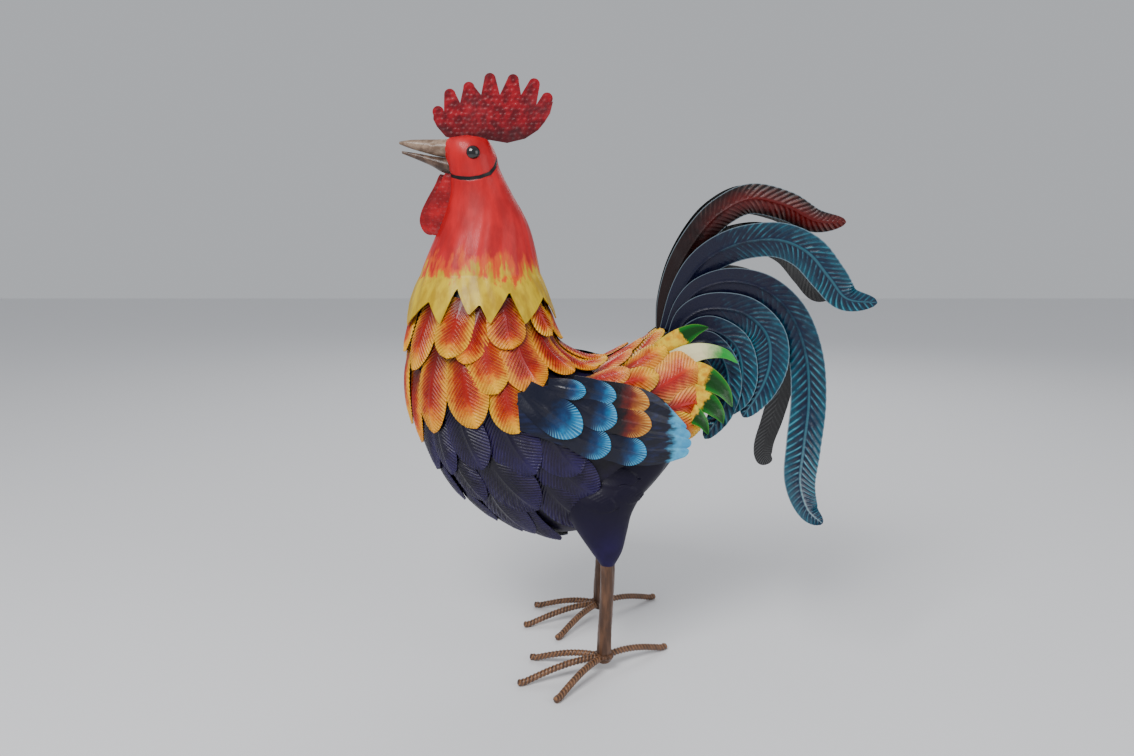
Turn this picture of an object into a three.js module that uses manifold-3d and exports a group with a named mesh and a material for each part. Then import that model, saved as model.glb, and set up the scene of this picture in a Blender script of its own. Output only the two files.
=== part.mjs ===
// A painted sheet-metal rooster that stands on two feet of ribbed rod.
// Millimetres, +Z up, floor at z = 0. The rooster looks along -X and its left side faces -Y.
import * as THREE from "three";
import { mergeVertices } from "three/addons/utils/BufferGeometryUtils.js";
import Module from "manifold-3d";

// Driving sizes
const HEIGHT = 550; // floor to the top of the comb
const FOOT_SPACING = 120; // between the middles of the shanks
const SHEET = 1.2; // leaf and shell thickness
const FIT = 0.4; // gap between pieces that touch
const SEAT = 1.2; // under a leaf's root, above the body shell
const COMB_THICKNESS = 3;
const WATTLE_THICKNESS = 4;
const WATTLE_SPREAD = 17; // between the middles of the two wattles
const WATTLE_STEP = 7; // the right wattle hangs this far ahead of the left one
const EYE_DIAMETER = 12.5;
const EYE_BULGE = 3.4;
const SHANK_WIDTH = 13.4;
const TOE_ROD = 6.6; // over the ribs
const TOE_ROOT_HEIGHT = 13; // middle of a toe where it leaves the shank
const TOE_ARCH = 3; // how far a toe bows up between shank and tip
const TOE_FOOTPRINT = 7; // length of the flat at a toe's tip
const SHANK_FOOT = 7; // the shank's lower end above the floor
const ROW_LIFT = 4.6; // how far a leaf's tip rises above its root
const SKIRT_LIFT = 7.8; // how far the neck's cut edge stands out
const WING_STAND = 6.8; // wing sheet above the body shell
const COVERT_LIFT = 3.4; // how far a wing covert's tip rises
const LAST_ROW_STAND = 10; // tips of the last saddle row above the body shell, over the curls
const RIB_RISE = 0.9; // ridge along the middle of each leaf
const TAIL_ROOT_STEP = 3.6; // between neighbouring tail feathers at the root
const TAIL_CAMBER = 1.6; // how far a tail feather's rib stands above its edges
const TAIL_SLOT = 28; // half width of the gap in the saddle's end where the tail stands

// Free forms keep their proportions as thousandths of the height, measured
// from the point on the floor midway between the shanks.
const share = HEIGHT / 1000;

const wasm = await Module();
wasm.setup();

const rooster = new THREE.Group();

function paint(colour, roughness = 0.45, metalness = 0.15) {
  return new THREE.MeshStandardMaterial({ color: colour, roughness, metalness });
}

function addPiece(name, geometry, material) {
  const mesh = new THREE.Mesh(geometry, material);
  mesh.name = name;
  rooster.add(mesh);
  return mesh;
}

// Closed meshes from grids of points

function signedVolume(points, faces) {
  let volume = 0;
  for (const [a, b, c] of faces) {
    volume += points[a].dot(points[b].clone().cross(points[c])) / 6;
  }
  return volume;
}

function closedGeometry(points, faces) {
  const outward = signedVolume(points, faces) > 0;
  const index = faces.flatMap(([a, b, c]) => (outward ? [a, b, c] : [a, c, b]));
  return new THREE.BufferGeometry().setFromPoints(points).setIndex(index);
}

// A solid between rings of equally many points, closed by a fan at each end.
function loftSolid(rings) {
  const count = rings[0].length;
  const points = rings.flat();
  const faces = [];
  for (let i = 0; i + 1 < rings.length; i++) {
    for (let j = 0; j < count; j++) {
      const next = (j + 1) % count;
      const [a, b] = [i * count + j, i * count + next];
      faces.push([a, b, a + count], [b, b + count, a + count]);
    }
  }
  for (const end of [0, rings.length - 1]) {
    const middle = new THREE.Vector3();
    rings[end].forEach((point) => middle.addScaledVector(point, 1 / count));
    const hub = points.push(middle) - 1;
    for (let j = 0; j < count; j++) {
      const [a, b] = [end * count + j, end * count + ((j + 1) % count)];
      faces.push(end === 0 ? [hub, b, a] : [hub, a, b]);
    }
  }
  return closedGeometry(points, faces);
}

// A sheet between two grids of points: lower[row][column] and upper[row][column].
// A sheet that goes right round joins its last column to its first.
function sheetSolid(lower, upper, goesRound = false) {
  const rows = lower.length;
  const columns = lower[0].length;
  const points = [...lower.flat(), ...upper.flat()];
  const faces = [];
  const at = (layer, row, column) => (layer * rows + row) * columns + (column % columns);
  const quad = (a, b, c, d) => faces.push([a, b, c], [a, c, d]);
  const spans = goesRound ? columns : columns - 1;
  for (let j = 0; j < spans; j++) {
    for (let i = 0; i + 1 < rows; i++) {
      quad(at(0, i, j), at(0, i + 1, j), at(0, i + 1, j + 1), at(0, i, j + 1));
      quad(at(1, i, j), at(1, i, j + 1), at(1, i + 1, j + 1), at(1, i + 1, j));
    }
    quad(at(0, 0, j), at(0, 0, j + 1), at(1, 0, j + 1), at(1, 0, j));
    quad(at(0, rows - 1, j + 1), at(0, rows - 1, j), at(1, rows - 1, j), at(1, rows - 1, j + 1));
  }
  if (!goesRound) {
    const last = columns - 1;
    for (let i = 0; i + 1 < rows; i++) {
      quad(at(0, i + 1, 0), at(0, i, 0), at(1, i, 0), at(1, i + 1, 0));
      quad(at(0, i, last), at(0, i + 1, last), at(1, i + 1, last), at(1, i, last));
    }
  }
  return closedGeometry(points, faces);
}

// Joins and cuts

function toSolid(geometry) {
  const bare = geometry.clone();
  bare.deleteAttribute("normal");
  bare.deleteAttribute("uv");
  const merged = mergeVertices(bare, 1e-4);
  const mesh = new wasm.Mesh({
    numProp: 3,
    vertProperties: new Float32Array(merged.attributes.position.array),
    triVerts: new Uint32Array(merged.index.array),
  });
  return new wasm.Manifold(mesh);
}

function toGeometry(solid) {
  const mesh = solid.getMesh();
  return new THREE.BufferGeometry()
    .setAttribute("position", new THREE.BufferAttribute(new Float32Array(mesh.vertProperties), 3))
    .setIndex(new THREE.BufferAttribute(new Uint32Array(mesh.triVerts), 1));
}

function cutBy(geometry, ...tools) {
  return toGeometry(tools.reduce((solid, tool) => solid.subtract(tool), toSolid(geometry)));
}

function mirrored(geometry) {
  const copy = geometry.clone();
  const positions = copy.attributes.position;
  for (let i = 0; i < positions.count; i++) positions.setY(i, -positions.getY(i));
  const index = Array.from(copy.index.array);
  for (let i = 0; i < index.length; i += 3) {
    [index[i + 1], index[i + 2]] = [index[i + 2], index[i + 1]];
  }
  return copy.setIndex(index);
}

// Curves

// The value at t on a smooth line through values, which stand at 0, 1, 2 and so on.
function smooth(values, t) {
  const last = values.length - 1;
  const i = Math.min(Math.max(Math.floor(t), 0), last - 1);
  const f = t - i;
  const [b, c] = [values[i], values[i + 1]];
  const a = i > 0 ? values[i - 1] : 2 * b - c;
  const d = i + 2 <= last ? values[i + 2] : 2 * c - b;
  return b + 0.5 * f * (c - a + f * (2 * a - 5 * b + 4 * c - d + f * (3 * (b - c) + d - a)));
}

function smoothPoint(path, t) {
  return path[0].map((_, axis) => smooth(path.map((point) => point[axis]), t));
}

const range = (count) => Array.from({ length: count }, (_, i) => i);
const mix = (a, b, f) => a + (b - a) * f;

// The figure's one long form, from crown to tail root, is an ellipse swept
// between two lines: down the throat, breast and belly, and down the nape and
// back. Each station gives a point on both lines and the half width there.
const STATIONS = [
  { at: "crown", front: [-240, 899], back: [-225, 901], half: 7 },
  { at: "brow", front: [-260, 893], back: [-193, 893], half: 30 },
  { at: "eye", front: [-264, 872], back: [-179, 870], half: 40 },
  { at: "cheek", front: [-258, 841], back: [-172, 844], half: 41 },
  { at: "throat", front: [-259, 801], back: [-153, 806], half: 45 },
  { at: "neck", front: [-277, 748], back: [-124, 750], half: 58 },
  { at: "collar", front: [-310, 669], back: [-106, 672], half: 82 },
  { at: "neck edge", front: [-321, 605], back: [-96, 609], half: 99 },
  { at: "upper breast", front: [-328, 542], back: [-77, 553], half: 114 },
  { at: "breast", front: [-328, 465], back: [-37, 523], half: 129 },
  { at: "lower breast", front: [-304, 386], back: [4, 517], half: 138 },
  { at: "belly", front: [-252, 303], back: [46, 533], half: 142 },
  { at: "keel", front: [-172, 244], back: [80, 552], half: 138 },
  { at: "under thighs", front: [-69, 214], back: [108, 568], half: 125 },
  { at: "vent", front: [31, 246], back: [132, 570], half: 105 },
  { at: "rump", front: [110, 326], back: [148, 556], half: 80 },
  { at: "tail root", front: [150, 396], back: [163, 524], half: 44 },
];
const LAST_STATION = STATIONS.length - 1;
const FRONT_LINE = STATIONS.map(({ front }) => front);
const BACK_LINE = STATIONS.map(({ back }) => back);
const HALF_WIDTHS = STATIONS.map(({ half }) => half);
const station = (name) => STATIONS.findIndex(({ at }) => at === name);

function sectionAt(s) {
  const front = smoothPoint(FRONT_LINE, s);
  const back = smoothPoint(BACK_LINE, s);
  return { front, back, half: smooth(HALF_WIDTHS, s) };
}

// The point on the figure's skin at station s, at an angle round from the
// front line. Angles below zero lie on the left side.
function skin(s, angle) {
  const { front, back, half } = sectionAt(s);
  const [c, w] = [(1 + Math.cos(angle)) / 2, half * Math.sin(angle)];
  const point = new THREE.Vector3(mix(back[0], front[0], c), w, mix(back[1], front[1], c));
  return point.multiplyScalar(share);
}

function skinNormal(s, angle) {
  const step = 0.02;
  const inside = Math.min(Math.max(s, step), LAST_STATION - step);
  const along = skin(inside + step, angle).sub(skin(inside - step, angle));
  const round = skin(inside, angle + step).sub(skin(inside, angle - step));
  return round.cross(along).normalize();
}

// A point above the skin.
function overSkin(s, angle, lift) {
  return skin(s, angle).addScaledVector(skinNormal(s, angle), lift);
}

// Where a point seen from the side lies on the left half of the skin: its
// station, and its angle from the front line. The search runs from the tail to
// the crown, because the sections fan out from behind the nape.
function locate([x, z]) {
  const look = (s) => {
    const { front, back } = sectionAt(s);
    const [dx, dz] = [front[0] - back[0], front[1] - back[1]];
    const [px, pz] = [x - back[0], z - back[1]];
    return { side: dx * pz - dz * px, along: (px * dx + pz * dz) / (dx * dx + dz * dz) };
  };
  const step = 0.25;
  let low = 0;
  let high = LAST_STATION;
  for (let s = LAST_STATION; s >= step; s -= step) {
    const crosses = look(s).side > 0 !== look(s - step).side > 0;
    const within = Math.abs(look(s - step / 2).along - 0.5) < 0.56;
    if (crosses && within) {
      [low, high] = [s - step, s];
      break;
    }
  }
  const lowSide = look(low).side > 0;
  for (let i = 0; i < 24; i++) {
    const middle = (low + high) / 2;
    if (look(middle).side > 0 === lowSide) low = middle;
    else high = middle;
  }
  const s = (low + high) / 2;
  const cosine = 2 * look(s).along - 1;
  return { s, angle: -Math.acos(Math.min(Math.max(cosine, -1), 1)), outside: Math.abs(cosine) > 1 };
}

function skinRings(from, to, rings, sides, lift) {
  return range(rings + 1).map((i) => {
    const s = mix(from, to, i / rings);
    return range(sides).map((j) => overSkin(s, (2 * Math.PI * j) / sides, lift(s)));
  });
}

// Body shell, solid here, from inside the neck's skirt to the tail root
const BODY_TOP = station("collar") + 0.02;
const BODY_SIDES = 20;
const BODY_RINGS = 14;
const inSkirt = (s) => Math.min(Math.max((s - BODY_TOP) / 0.7, 0), 1);
const bodyInset = SHEET + FIT + 0.6;
const bodyLift = (s) => -bodyInset * (1 - inSkirt(s));

function bodyForm(grow) {
  const lift = (s) => bodyLift(s) + grow;
  return loftSolid(skinRings(BODY_TOP, LAST_STATION, BODY_RINGS, BODY_SIDES, lift));
}
const bodyCut = toSolid(bodyForm(FIT));
addPiece("body_shell", bodyForm(0), paint(0x2a2340));

// Neck and head: a closed form down to the collar, and below it a skirt cut
// into pointed tongues that stands out over the first row of feathers.
const NECK_SIDES = 30;
const COLLAR = station("collar");
const TONGUES = 12;
const TONGUE_VALLEY = 6.95; // station of the cuts between the tongues
const TONGUE_TIP = 7.62;
const TONGUE_PHASE = 0.25; // share of a tongue by which the first one is turned from the front line

function tongueEdge(angle) {
  const phase = (TONGUES * angle) / (2 * Math.PI) + TONGUE_PHASE;
  const tooth = 1 - Math.abs(2 * (phase - Math.floor(phase)) - 1);
  return mix(TONGUE_VALLEY, TONGUE_TIP, tooth);
}

function skirtLift(s) {
  const t = Math.min(Math.max((s - COLLAR) / (TONGUE_TIP - COLLAR), 0), 1);
  return SKIRT_LIFT * (1 - (1 - t) ** 2);
}

const NECK_STATIONS = [0, 0.4, 1, 1.8, 2.7, 3.6, 4.6, COLLAR];
const neckRing = (s, lift) =>
  range(NECK_SIDES).map((j) => overSkin(s, (2 * Math.PI * (j + 0.5)) / NECK_SIDES, lift));

function neckAndHead() {
  const skirtSteps = 2;
  const skirt = (step, lift) =>
    range(NECK_SIDES).map((j) => {
      const angle = (2 * Math.PI * (j + 0.5)) / NECK_SIDES;
      const s = mix(COLLAR, tongueEdge(angle), step / skirtSteps);
      return overSkin(s, angle, skirtLift(s) + lift);
    });
  const closed = NECK_STATIONS.map((s) => neckRing(s, 0));
  const outer = range(skirtSteps).map((i) => skirt(i + 1, 0));
  const inner = range(skirtSteps).map((i) => skirt(skirtSteps - i, -SHEET));
  return loftSolid([...closed, ...outer, ...inner, neckRing(COLLAR, -SHEET)]);
}
addPiece("neck_and_head", neckAndHead(), paint(0xd8352c, 0.35));
const headCut = toSolid(loftSolid(NECK_STATIONS.map((s) => neckRing(s, FIT))));

// Comb: a flat hammered sheet with seven round-ended teeth
const COMB_TIPS = [
  [-279, 946], [-255, 975], [-223, 986], [-187, 1000], [-147, 998], [-111, 991], [-86, 966],
];
const COMB_VALLEYS = [
  [-264, 938], [-237, 952], [-202, 965], [-171, 965], [-136, 965], [-111, 949],
];
const COMB_LOWER_EDGE = [
  [-83, 955], [-88, 936], [-97, 922], [-108, 909], [-130, 895], [-160, 888], [-190, 893],
  [-230, 890], [-262, 898], [-276, 917], [-287, 936],
];
const TOOTH_HALF_WIDTH = 9.5;

// The rounded end of one tooth, from its front flank to its back flank.
function toothEnd(tip, foot) {
  const axis = new THREE.Vector2(tip[0] - foot[0], tip[1] - foot[1]).normalize();
  const turn = Math.atan2(axis.y, axis.x);
  const centre = [tip[0] - axis.x * TOOTH_HALF_WIDTH, tip[1] - axis.y * TOOTH_HALF_WIDTH];
  return range(5).map((i) => {
    const angle = turn + Math.PI / 2 - (i * Math.PI) / 4;
    const reach = TOOTH_HALF_WIDTH;
    return [centre[0] + reach * Math.cos(angle), centre[1] + reach * Math.sin(angle)];
  });
}

function combOutline() {
  const feet = COMB_TIPS.map((_, i) => {
    const before = COMB_VALLEYS[Math.max(i - 1, 0)];
    const after = COMB_VALLEYS[Math.min(i, COMB_VALLEYS.length - 1)];
    return [(before[0] + after[0]) / 2, (before[1] + after[1]) / 2];
  });
  feet[0] = [-258, 915];
  feet[feet.length - 1] = [-125, 930];
  const teeth = COMB_TIPS.flatMap((tip, i) => {
    const valley = i < COMB_VALLEYS.length ? [COMB_VALLEYS[i]] : [];
    return [...toothEnd(tip, feet[i]), ...valley];
  });
  return [...teeth, ...COMB_LOWER_EDGE];
}

// An upright plate from a side-view outline, with its middle at y.
function uprightPlate(outline, thickness, y) {
  const shape = new THREE.Shape(outline.map(([x, z]) => new THREE.Vector2(x * share, z * share)));
  const geometry = new THREE.ExtrudeGeometry(shape, { depth: thickness, bevelEnabled: false });
  geometry.rotateX(Math.PI / 2);
  geometry.translate(0, y + thickness / 2, 0);
  return mergeVertices(geometry.deleteAttribute("normal").deleteAttribute("uv"), 1e-4);
}
const comb = uprightPlate(combOutline(), COMB_THICKNESS, 0);
addPiece("comb", cutBy(comb, headCut), paint(0xa5121f, 0.3));

// Beak: two tapering halves that part towards the tip
const BEAK_SIDES = 8;
function beakHalf(stations) {
  return loftSolid(
    stations.map(({ x, bottom, top, half }) =>
      range(BEAK_SIDES).map((j) => {
        const angle = (2 * Math.PI * (j + 0.5)) / BEAK_SIDES;
        const z = mix(bottom, top, (1 + Math.sin(angle)) / 2);
        return new THREE.Vector3(x, half * Math.cos(angle), z).multiplyScalar(share);
      }),
    ),
  );
}
const beakGap = FIT / share;
const UPPER_BEAK = [
  { x: -250, bottom: 862 + beakGap, top: 894, half: 18 },
  { x: -273, bottom: 865 + beakGap, top: 893, half: 15 },
  { x: -298, bottom: 872, top: 893, half: 11 },
  { x: -322, bottom: 879, top: 892.5, half: 7 },
  { x: -340, bottom: 886, top: 890, half: 2 },
];
const LOWER_BEAK = [
  { x: -250, bottom: 834, top: 862, half: 17 },
  { x: -271, bottom: 842, top: 865, half: 13.5 },
  { x: -287, bottom: 851, top: 867, half: 10 },
  { x: -308, bottom: 860, top: 871, half: 6.5 },
  { x: -336, bottom: 871, top: 875, half: 2 },
];
addPiece("beak_upper", cutBy(beakHalf(UPPER_BEAK), headCut), paint(0x8f7660));
addPiece("beak_lower", cutBy(beakHalf(LOWER_BEAK), headCut), paint(0x6f5643));

// Wattles: two hammered drops under the beak
const WATTLE_EDGE = [
  [-262, 838], [-272, 819], [-285, 797], [-296, 775], [-299, 757], [-292, 741], [-280, 736],
  [-268, 744], [-254, 772], [-246, 806], [-250, 836],
];
function wattle(y, ahead) {
  const outline = WATTLE_EDGE.map(([x, z]) => [x - ahead / share, z]);
  return cutBy(uprightPlate(outline, WATTLE_THICKNESS, y), headCut);
}
addPiece("wattle_left", wattle(-WATTLE_SPREAD / 2, 0), paint(0xb3202c, 0.3));
addPiece("wattle_right", wattle(WATTLE_SPREAD / 2, WATTLE_STEP), paint(0xb3202c, 0.3));

// Eyes: low domes on both sides of the head
const EYE_PLACE = [-213, 871];
const EYE_SIDES = 12;
function eye() {
  const { s, angle } = locate(EYE_PLACE);
  const rings = [0, 0.5, 0.95].map((f) => {
    const reach = (EYE_DIAMETER / 2) * Math.cos((f * Math.PI) / 2) + 0.4;
    const rise = -1.5 + (EYE_BULGE + 1.5) * Math.sin((f * Math.PI) / 2);
    return { reach, rise };
  });
  const centre = skin(s, angle);
  const out = skinNormal(s, angle);
  const across = new THREE.Vector3(0, 0, 1).cross(out).normalize();
  const up = out.clone().cross(across);
  return loftSolid(
    rings.map(({ reach, rise }) =>
      range(EYE_SIDES).map((j) => {
        const turn = (2 * Math.PI * j) / EYE_SIDES;
        return centre
          .clone()
          .addScaledVector(out, rise)
          .addScaledVector(across, reach * Math.cos(turn))
          .addScaledVector(up, reach * Math.sin(turn));
      }),
    ),
  );
}
const eyeDome = cutBy(eye(), headCut);
addPiece("eye_left", eyeDome, paint(0x0a0a0c, 0.08, 0));
addPiece("eye_right", mirrored(eyeDome), paint(0x0a0a0c, 0.08, 0));

// Rows of leaf feathers. A row is one scalloped sheet: its leaves are joined
// where they touch at the roots, and part towards their round tips.
const LEAF_COLUMNS = 4;
const LEAF_ROUNDNESS = 2.4; // larger is rounder
const NOTCH = 0.38;
const LEAF_RISE = [SEAT, SEAT + ROW_LIFT];

// surface(place, lift) gives a point; root(f) and tip(f) give places along the
// row. The outline between two leaves is cut back by a share, notch.
function leafRow({ surface, root, tip, leaves, rows = 2, rise = LEAF_RISE, notch = NOTCH, goesRound }) {
  const count = leaves * LEAF_COLUMNS + (goesRound ? 0 : 1);
  const layer = (extra) =>
    range(rows + 1).map((i) =>
      range(count).map((j) => {
        const f = j / (leaves * LEAF_COLUMNS);
        const across = Math.abs(2 * ((j / LEAF_COLUMNS) % 1) - 1);
        const reach = (i / rows) * (1 - notch * across ** LEAF_ROUNDNESS);
        const place = root(f).map((value, axis) => mix(value, tip(f)[axis], reach));
        const lift = mix(rise[0], rise[1], reach) + RIB_RISE * (1 - across);
        return surface(place, lift + extra);
      }),
    );
  return sheetSolid(layer(0), layer(SHEET), goesRound);
}
const onSkin = ([s, angle], lift) => overSkin(s, angle, lift);

// Places spaced evenly over the skin along a line that is straight in side
// view, from a place on the skin to a point on the left side.
function sideLine(first, end) {
  const onSide = ([s, angle]) => {
    const { front, back } = sectionAt(s);
    const c = (1 + Math.cos(angle)) / 2;
    return [mix(back[0], front[0], c), mix(back[1], front[1], c)];
  };
  const start = onSide(first);
  const steps = 48;
  const places = range(steps + 1).map((i) => {
    if (i === 0) return first;
    const found = locate([mix(start[0], end[0], i / steps), mix(start[1], end[1], i / steps)]);
    return [found.s, found.angle];
  });
  const walked = [0];
  for (let i = 1; i <= steps; i++) {
    walked.push(walked[i - 1] + skin(...places[i]).distanceTo(skin(...places[i - 1])));
  }
  return (f) => {
    const goal = Math.min(f, 1) * walked[steps];
    const i = Math.max(walked.findIndex((length) => length >= goal), 1);
    const part = (goal - walked[i - 1]) / (walked[i] - walked[i - 1]);
    return places[i].map((value, axis) => mix(places[i - 1][axis], value, part));
  };
}

// A line that runs from side to side across the breast or belly, or across
// the back, by way of the front or back line at station s.
function acrossFront(s, end) {
  const half = sideLine([s, 0], end);
  return (f) => {
    const [place, angle] = half(Math.abs(2 * f - 1));
    return [place, f <= 0.5 ? angle : -angle];
  };
}

function acrossBack(s, end) {
  const half = sideLine([s, -Math.PI], end);
  return (f) => {
    const [place, angle] = half(Math.abs(2 * f - 1));
    return [place, f <= 0.5 ? angle : -2 * Math.PI - angle];
  };
}

// Lines on the left side alone: one starts at a point seen from the side, and
// one beside the tail's slot.
function betweenPoints(start, end) {
  const { s, angle } = locate(start);
  return sideLine([s, angle], end);
}

function besideTail(s, end) {
  return sideLine([s, Math.asin(TAIL_SLOT / share / sectionAt(s).half) - Math.PI], end);
}

// Hackle: a full ring under the neck's edge, a row that wraps round the nape
// and shoulders, and a row that wraps round the breast.
const HACKLE = paint(0xe8722a);
const OVER_WING = WING_STAND + ROW_LIFT + 2 * SHEET; // tips that lie over the wing's front end
const ringLine = (front, back) => (f) => {
  const angle = 2 * Math.PI * (f - 0.5);
  return [mix(front, back, (1 - Math.cos(angle)) / 2), angle];
};
addPiece(
  "hackle_row_1",
  leafRow({
    surface: onSkin,
    root: ringLine(6.85, 6.85),
    tip: ringLine(8.45, 8.0),
    leaves: 14,
    goesRound: true,
  }),
  HACKLE,
);
addPiece(
  "hackle_row_2",
  leafRow({
    surface: onSkin,
    root: acrossBack(7.95, [-235, 558]),
    tip: acrossBack(9.9, [-215, 462]),
    leaves: 10,
    rise: [SEAT, OVER_WING],
  }),
  HACKLE,
);
addPiece(
  "hackle_row_3",
  leafRow({
    surface: onSkin,
    root: acrossFront(8.35, [-150, 510]),
    tip: acrossFront(10.15, [-135, 392]),
    leaves: 9,
  }),
  HACKLE,
);

// Belly: four rows of purple leaves that wrap round the breast and keel
const BELLY = paint(0x3a2c63);
const BELLY_ROWS = [
  { rootFront: 9.75, rootEnd: [-70, 430], tipFront: 11.1, tipEnd: [-70, 340], leaves: 9 },
  { rootFront: 10.75, rootEnd: [-85, 345], tipFront: 11.85, tipEnd: [-88, 290], leaves: 8 },
  { rootFront: 11.5, rootEnd: [-105, 300], tipFront: 12.55, tipEnd: [-88, 252], leaves: 7 },
  { rootFront: 12.2, rootEnd: [-108, 262], tipFront: 13.1, tipEnd: [-62, 228], leaves: 4 },
];
BELLY_ROWS.forEach(({ rootFront, rootEnd, tipFront, tipEnd, leaves }, i) => {
  const row = leafRow({
    surface: onSkin,
    root: acrossFront(rootFront, rootEnd),
    tip: acrossFront(tipFront, tipEnd),
    leaves,
  });
  addPiece("belly_row_" + (i + 1), row, BELLY);
});

// Saddle: two rows over the back that point up to the tail, and a third that
// parts to let the tail through.
const SADDLE_ROWS = [
  { rootBack: 9.9, rootEnd: [-40, 500], tipBack: 11.7, tipEnd: [38, 490], leaves: 5, colour: 0xe98a55 },
  { rootBack: 11.2, rootEnd: [22, 494], tipBack: 12.8, tipEnd: [98, 478], leaves: 6, colour: 0xeb9a4e },
];
SADDLE_ROWS.forEach(({ rootBack, rootEnd, tipBack, tipEnd, leaves, colour }, i) => {
  const row = leafRow({
    surface: onSkin,
    root: acrossBack(rootBack, rootEnd),
    tip: acrossBack(tipBack, tipEnd),
    leaves,
  });
  addPiece("saddle_row_" + (i + 1), row, paint(colour));
});
const BASE_LIFT = 1; // how far the tail coverts' common base rises
const OVER_BASE = SEAT + BASE_LIFT + SHEET + RIB_RISE + FIT;
const lastSaddleRow = leafRow({
  surface: onSkin,
  root: betweenPoints([104, 518], [82, 446]),
  tip: betweenPoints([134, 512], [126, 436]),
  leaves: 3,
  rise: [OVER_BASE, LAST_ROW_STAND],
});
addPiece("saddle_row_3_left", lastSaddleRow, paint(0xe9a23c));
addPiece("saddle_row_3_right", mirrored(lastSaddleRow), paint(0xe9a23c));

// Wings: one bowed sheet on each flank, with a scalloped end, and three
// overlapping columns of coverts on it.
const WING_TOP = [[-139, 494], [-95, 509], [-49, 518], [-5, 513], [45, 503], [90, 478], [118, 440]];
const WING_LOW = [[-135, 432], [-95, 418], [-50, 400], [-7, 384], [40, 370], [85, 366], [118, 374]];
const WING_BOW = [140, 150, 153, 149, 139, 126, 112];
const WING_SCALLOPS = 4;
const WING_SCALLOP_REACH = 26;
const WING_ROLL = 0.1; // how far the sheet turns in towards its upper and lower edges

function halfWidthAt(point) {
  const { s, angle, outside } = locate(point);
  return outside ? 0 : sectionAt(s).half * Math.abs(Math.sin(angle));
}

// A place on the wing is its side-view point.
function onWing([x, z], lift) {
  const along = ((x - WING_TOP[0][0]) / (WING_TOP.at(-1)[0] - WING_TOP[0][0])) * (WING_BOW.length - 1);
  const middle = (smoothPoint(WING_TOP, along)[1] + smoothPoint(WING_LOW, along)[1]) / 2;
  const bow = smooth(WING_BOW, along) - WING_ROLL * ((z - middle) / 30) ** 2 * 10;
  const out = Math.max(bow * share, halfWidthAt([x, z]) * share + WING_STAND);
  return new THREE.Vector3(x * share, -(out + lift), z * share);
}

function wingSheet() {
  const columns = 6;
  const rows = 2 * WING_SCALLOPS;
  const layer = (lift) =>
    range(columns + 1).map((i) =>
      range(rows + 1).map((j) => {
        const t = (i / columns) * (WING_TOP.length - 1);
        const [top, low] = [smoothPoint(WING_TOP, t), smoothPoint(WING_LOW, t)];
        const f = j / rows;
        const tip = i === columns ? WING_SCALLOP_REACH * (j % 2) * (1 - 0.3 * f) : 0;
        return onWing([mix(low[0], top[0], f) + tip, mix(low[1], top[1], f)], lift);
      }),
    );
  return sheetSolid(layer(0), layer(SHEET));
}
const WING = paint(0x1c2444);
const wing = wingSheet();
addPiece("wing_left", wing, WING);
addPiece("wing_right", mirrored(wing), WING);

const straight = (from, to) => (f) => [mix(from[0], to[0], f), mix(from[1], to[1], f)];
const COVERT_SEAT = SHEET + FIT;
const COVERT_COLUMNS = [
  { root: [[-95, 415], [-88, 506]], tip: [[-40, 405], [-32, 512]], leaves: 2, colour: 0x2f86c4 },
  { root: [[-59, 392], [-57, 514]], tip: [[10, 384], [16, 512]], leaves: 3, colour: 0x2f86c4 },
  { root: [[-12, 380], [-10, 506]], tip: [[66, 374], [66, 498]], leaves: 3, colour: 0x9a5a3a },
];
COVERT_COLUMNS.forEach(({ root, tip, leaves, colour }, i) => {
  const column = leafRow({
    surface: onWing,
    root: straight(...root),
    tip: straight(...tip),
    leaves,
    rise: [COVERT_SEAT, COVERT_SEAT + COVERT_LIFT],
  });
  addPiece("wing_coverts_left_" + (i + 1), column, paint(colour));
  addPiece("wing_coverts_right_" + (i + 1), mirrored(column), paint(colour));
});

// Shares of a long feather's length: where it has its full width, and where it
// starts to narrow. Its tip keeps a share of its width.
const FEATHER_SWELL = 0.45;
const FEATHER_TAPER = 0.78;
const FEATHER_TIP = 0.11;

// Long curved feathers. A path runs along the middle rib in side view, and
// sideways gives the rib's distance from the middle plane at a point of it.
function sickle({ path, sideways, width, steps = 9, rootWidth = 0.55, camber = TAIL_CAMBER }) {
  const last = path.length - 1;
  const lower = [];
  const upper = [];
  for (const i of range(steps + 1)) {
    const f = i / steps;
    const [x, z] = smoothPoint(path, f * last);
    const [x1, z1] = smoothPoint(path, Math.min(f + 0.01, 1) * last);
    const [x0, z0] = smoothPoint(path, Math.max(f - 0.01, 0) * last);
    const side = new THREE.Vector3(-(z1 - z0), 0, x1 - x0).normalize();
    const swell = mix(rootWidth, 1, Math.sin((Math.min(f / FEATHER_SWELL, 1) * Math.PI) / 2));
    const narrowing = f < FEATHER_TAPER ? 1 : Math.sqrt(1 - ((f - FEATHER_TAPER) / (1 - FEATHER_TAPER)) ** 2);
    const half = (width / 2) * swell * Math.max(narrowing, FEATHER_TIP);
    const across = (camber > 0 ? [-1, 0, 1] : [-1, 1]).map((u) => {
      const point = new THREE.Vector3(x * share, 0, z * share).addScaledVector(side, u * half);
      const bow = (Math.abs(u) * camber * half) / (width / 2);
      return point.setY(bow - sideways([point.x / share, point.z / share], f));
    });
    lower.push(across);
    upper.push(across.map((point) => point.clone().setY(point.y - SHEET)));
  }
  return sheetSolid(lower, upper);
}

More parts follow.
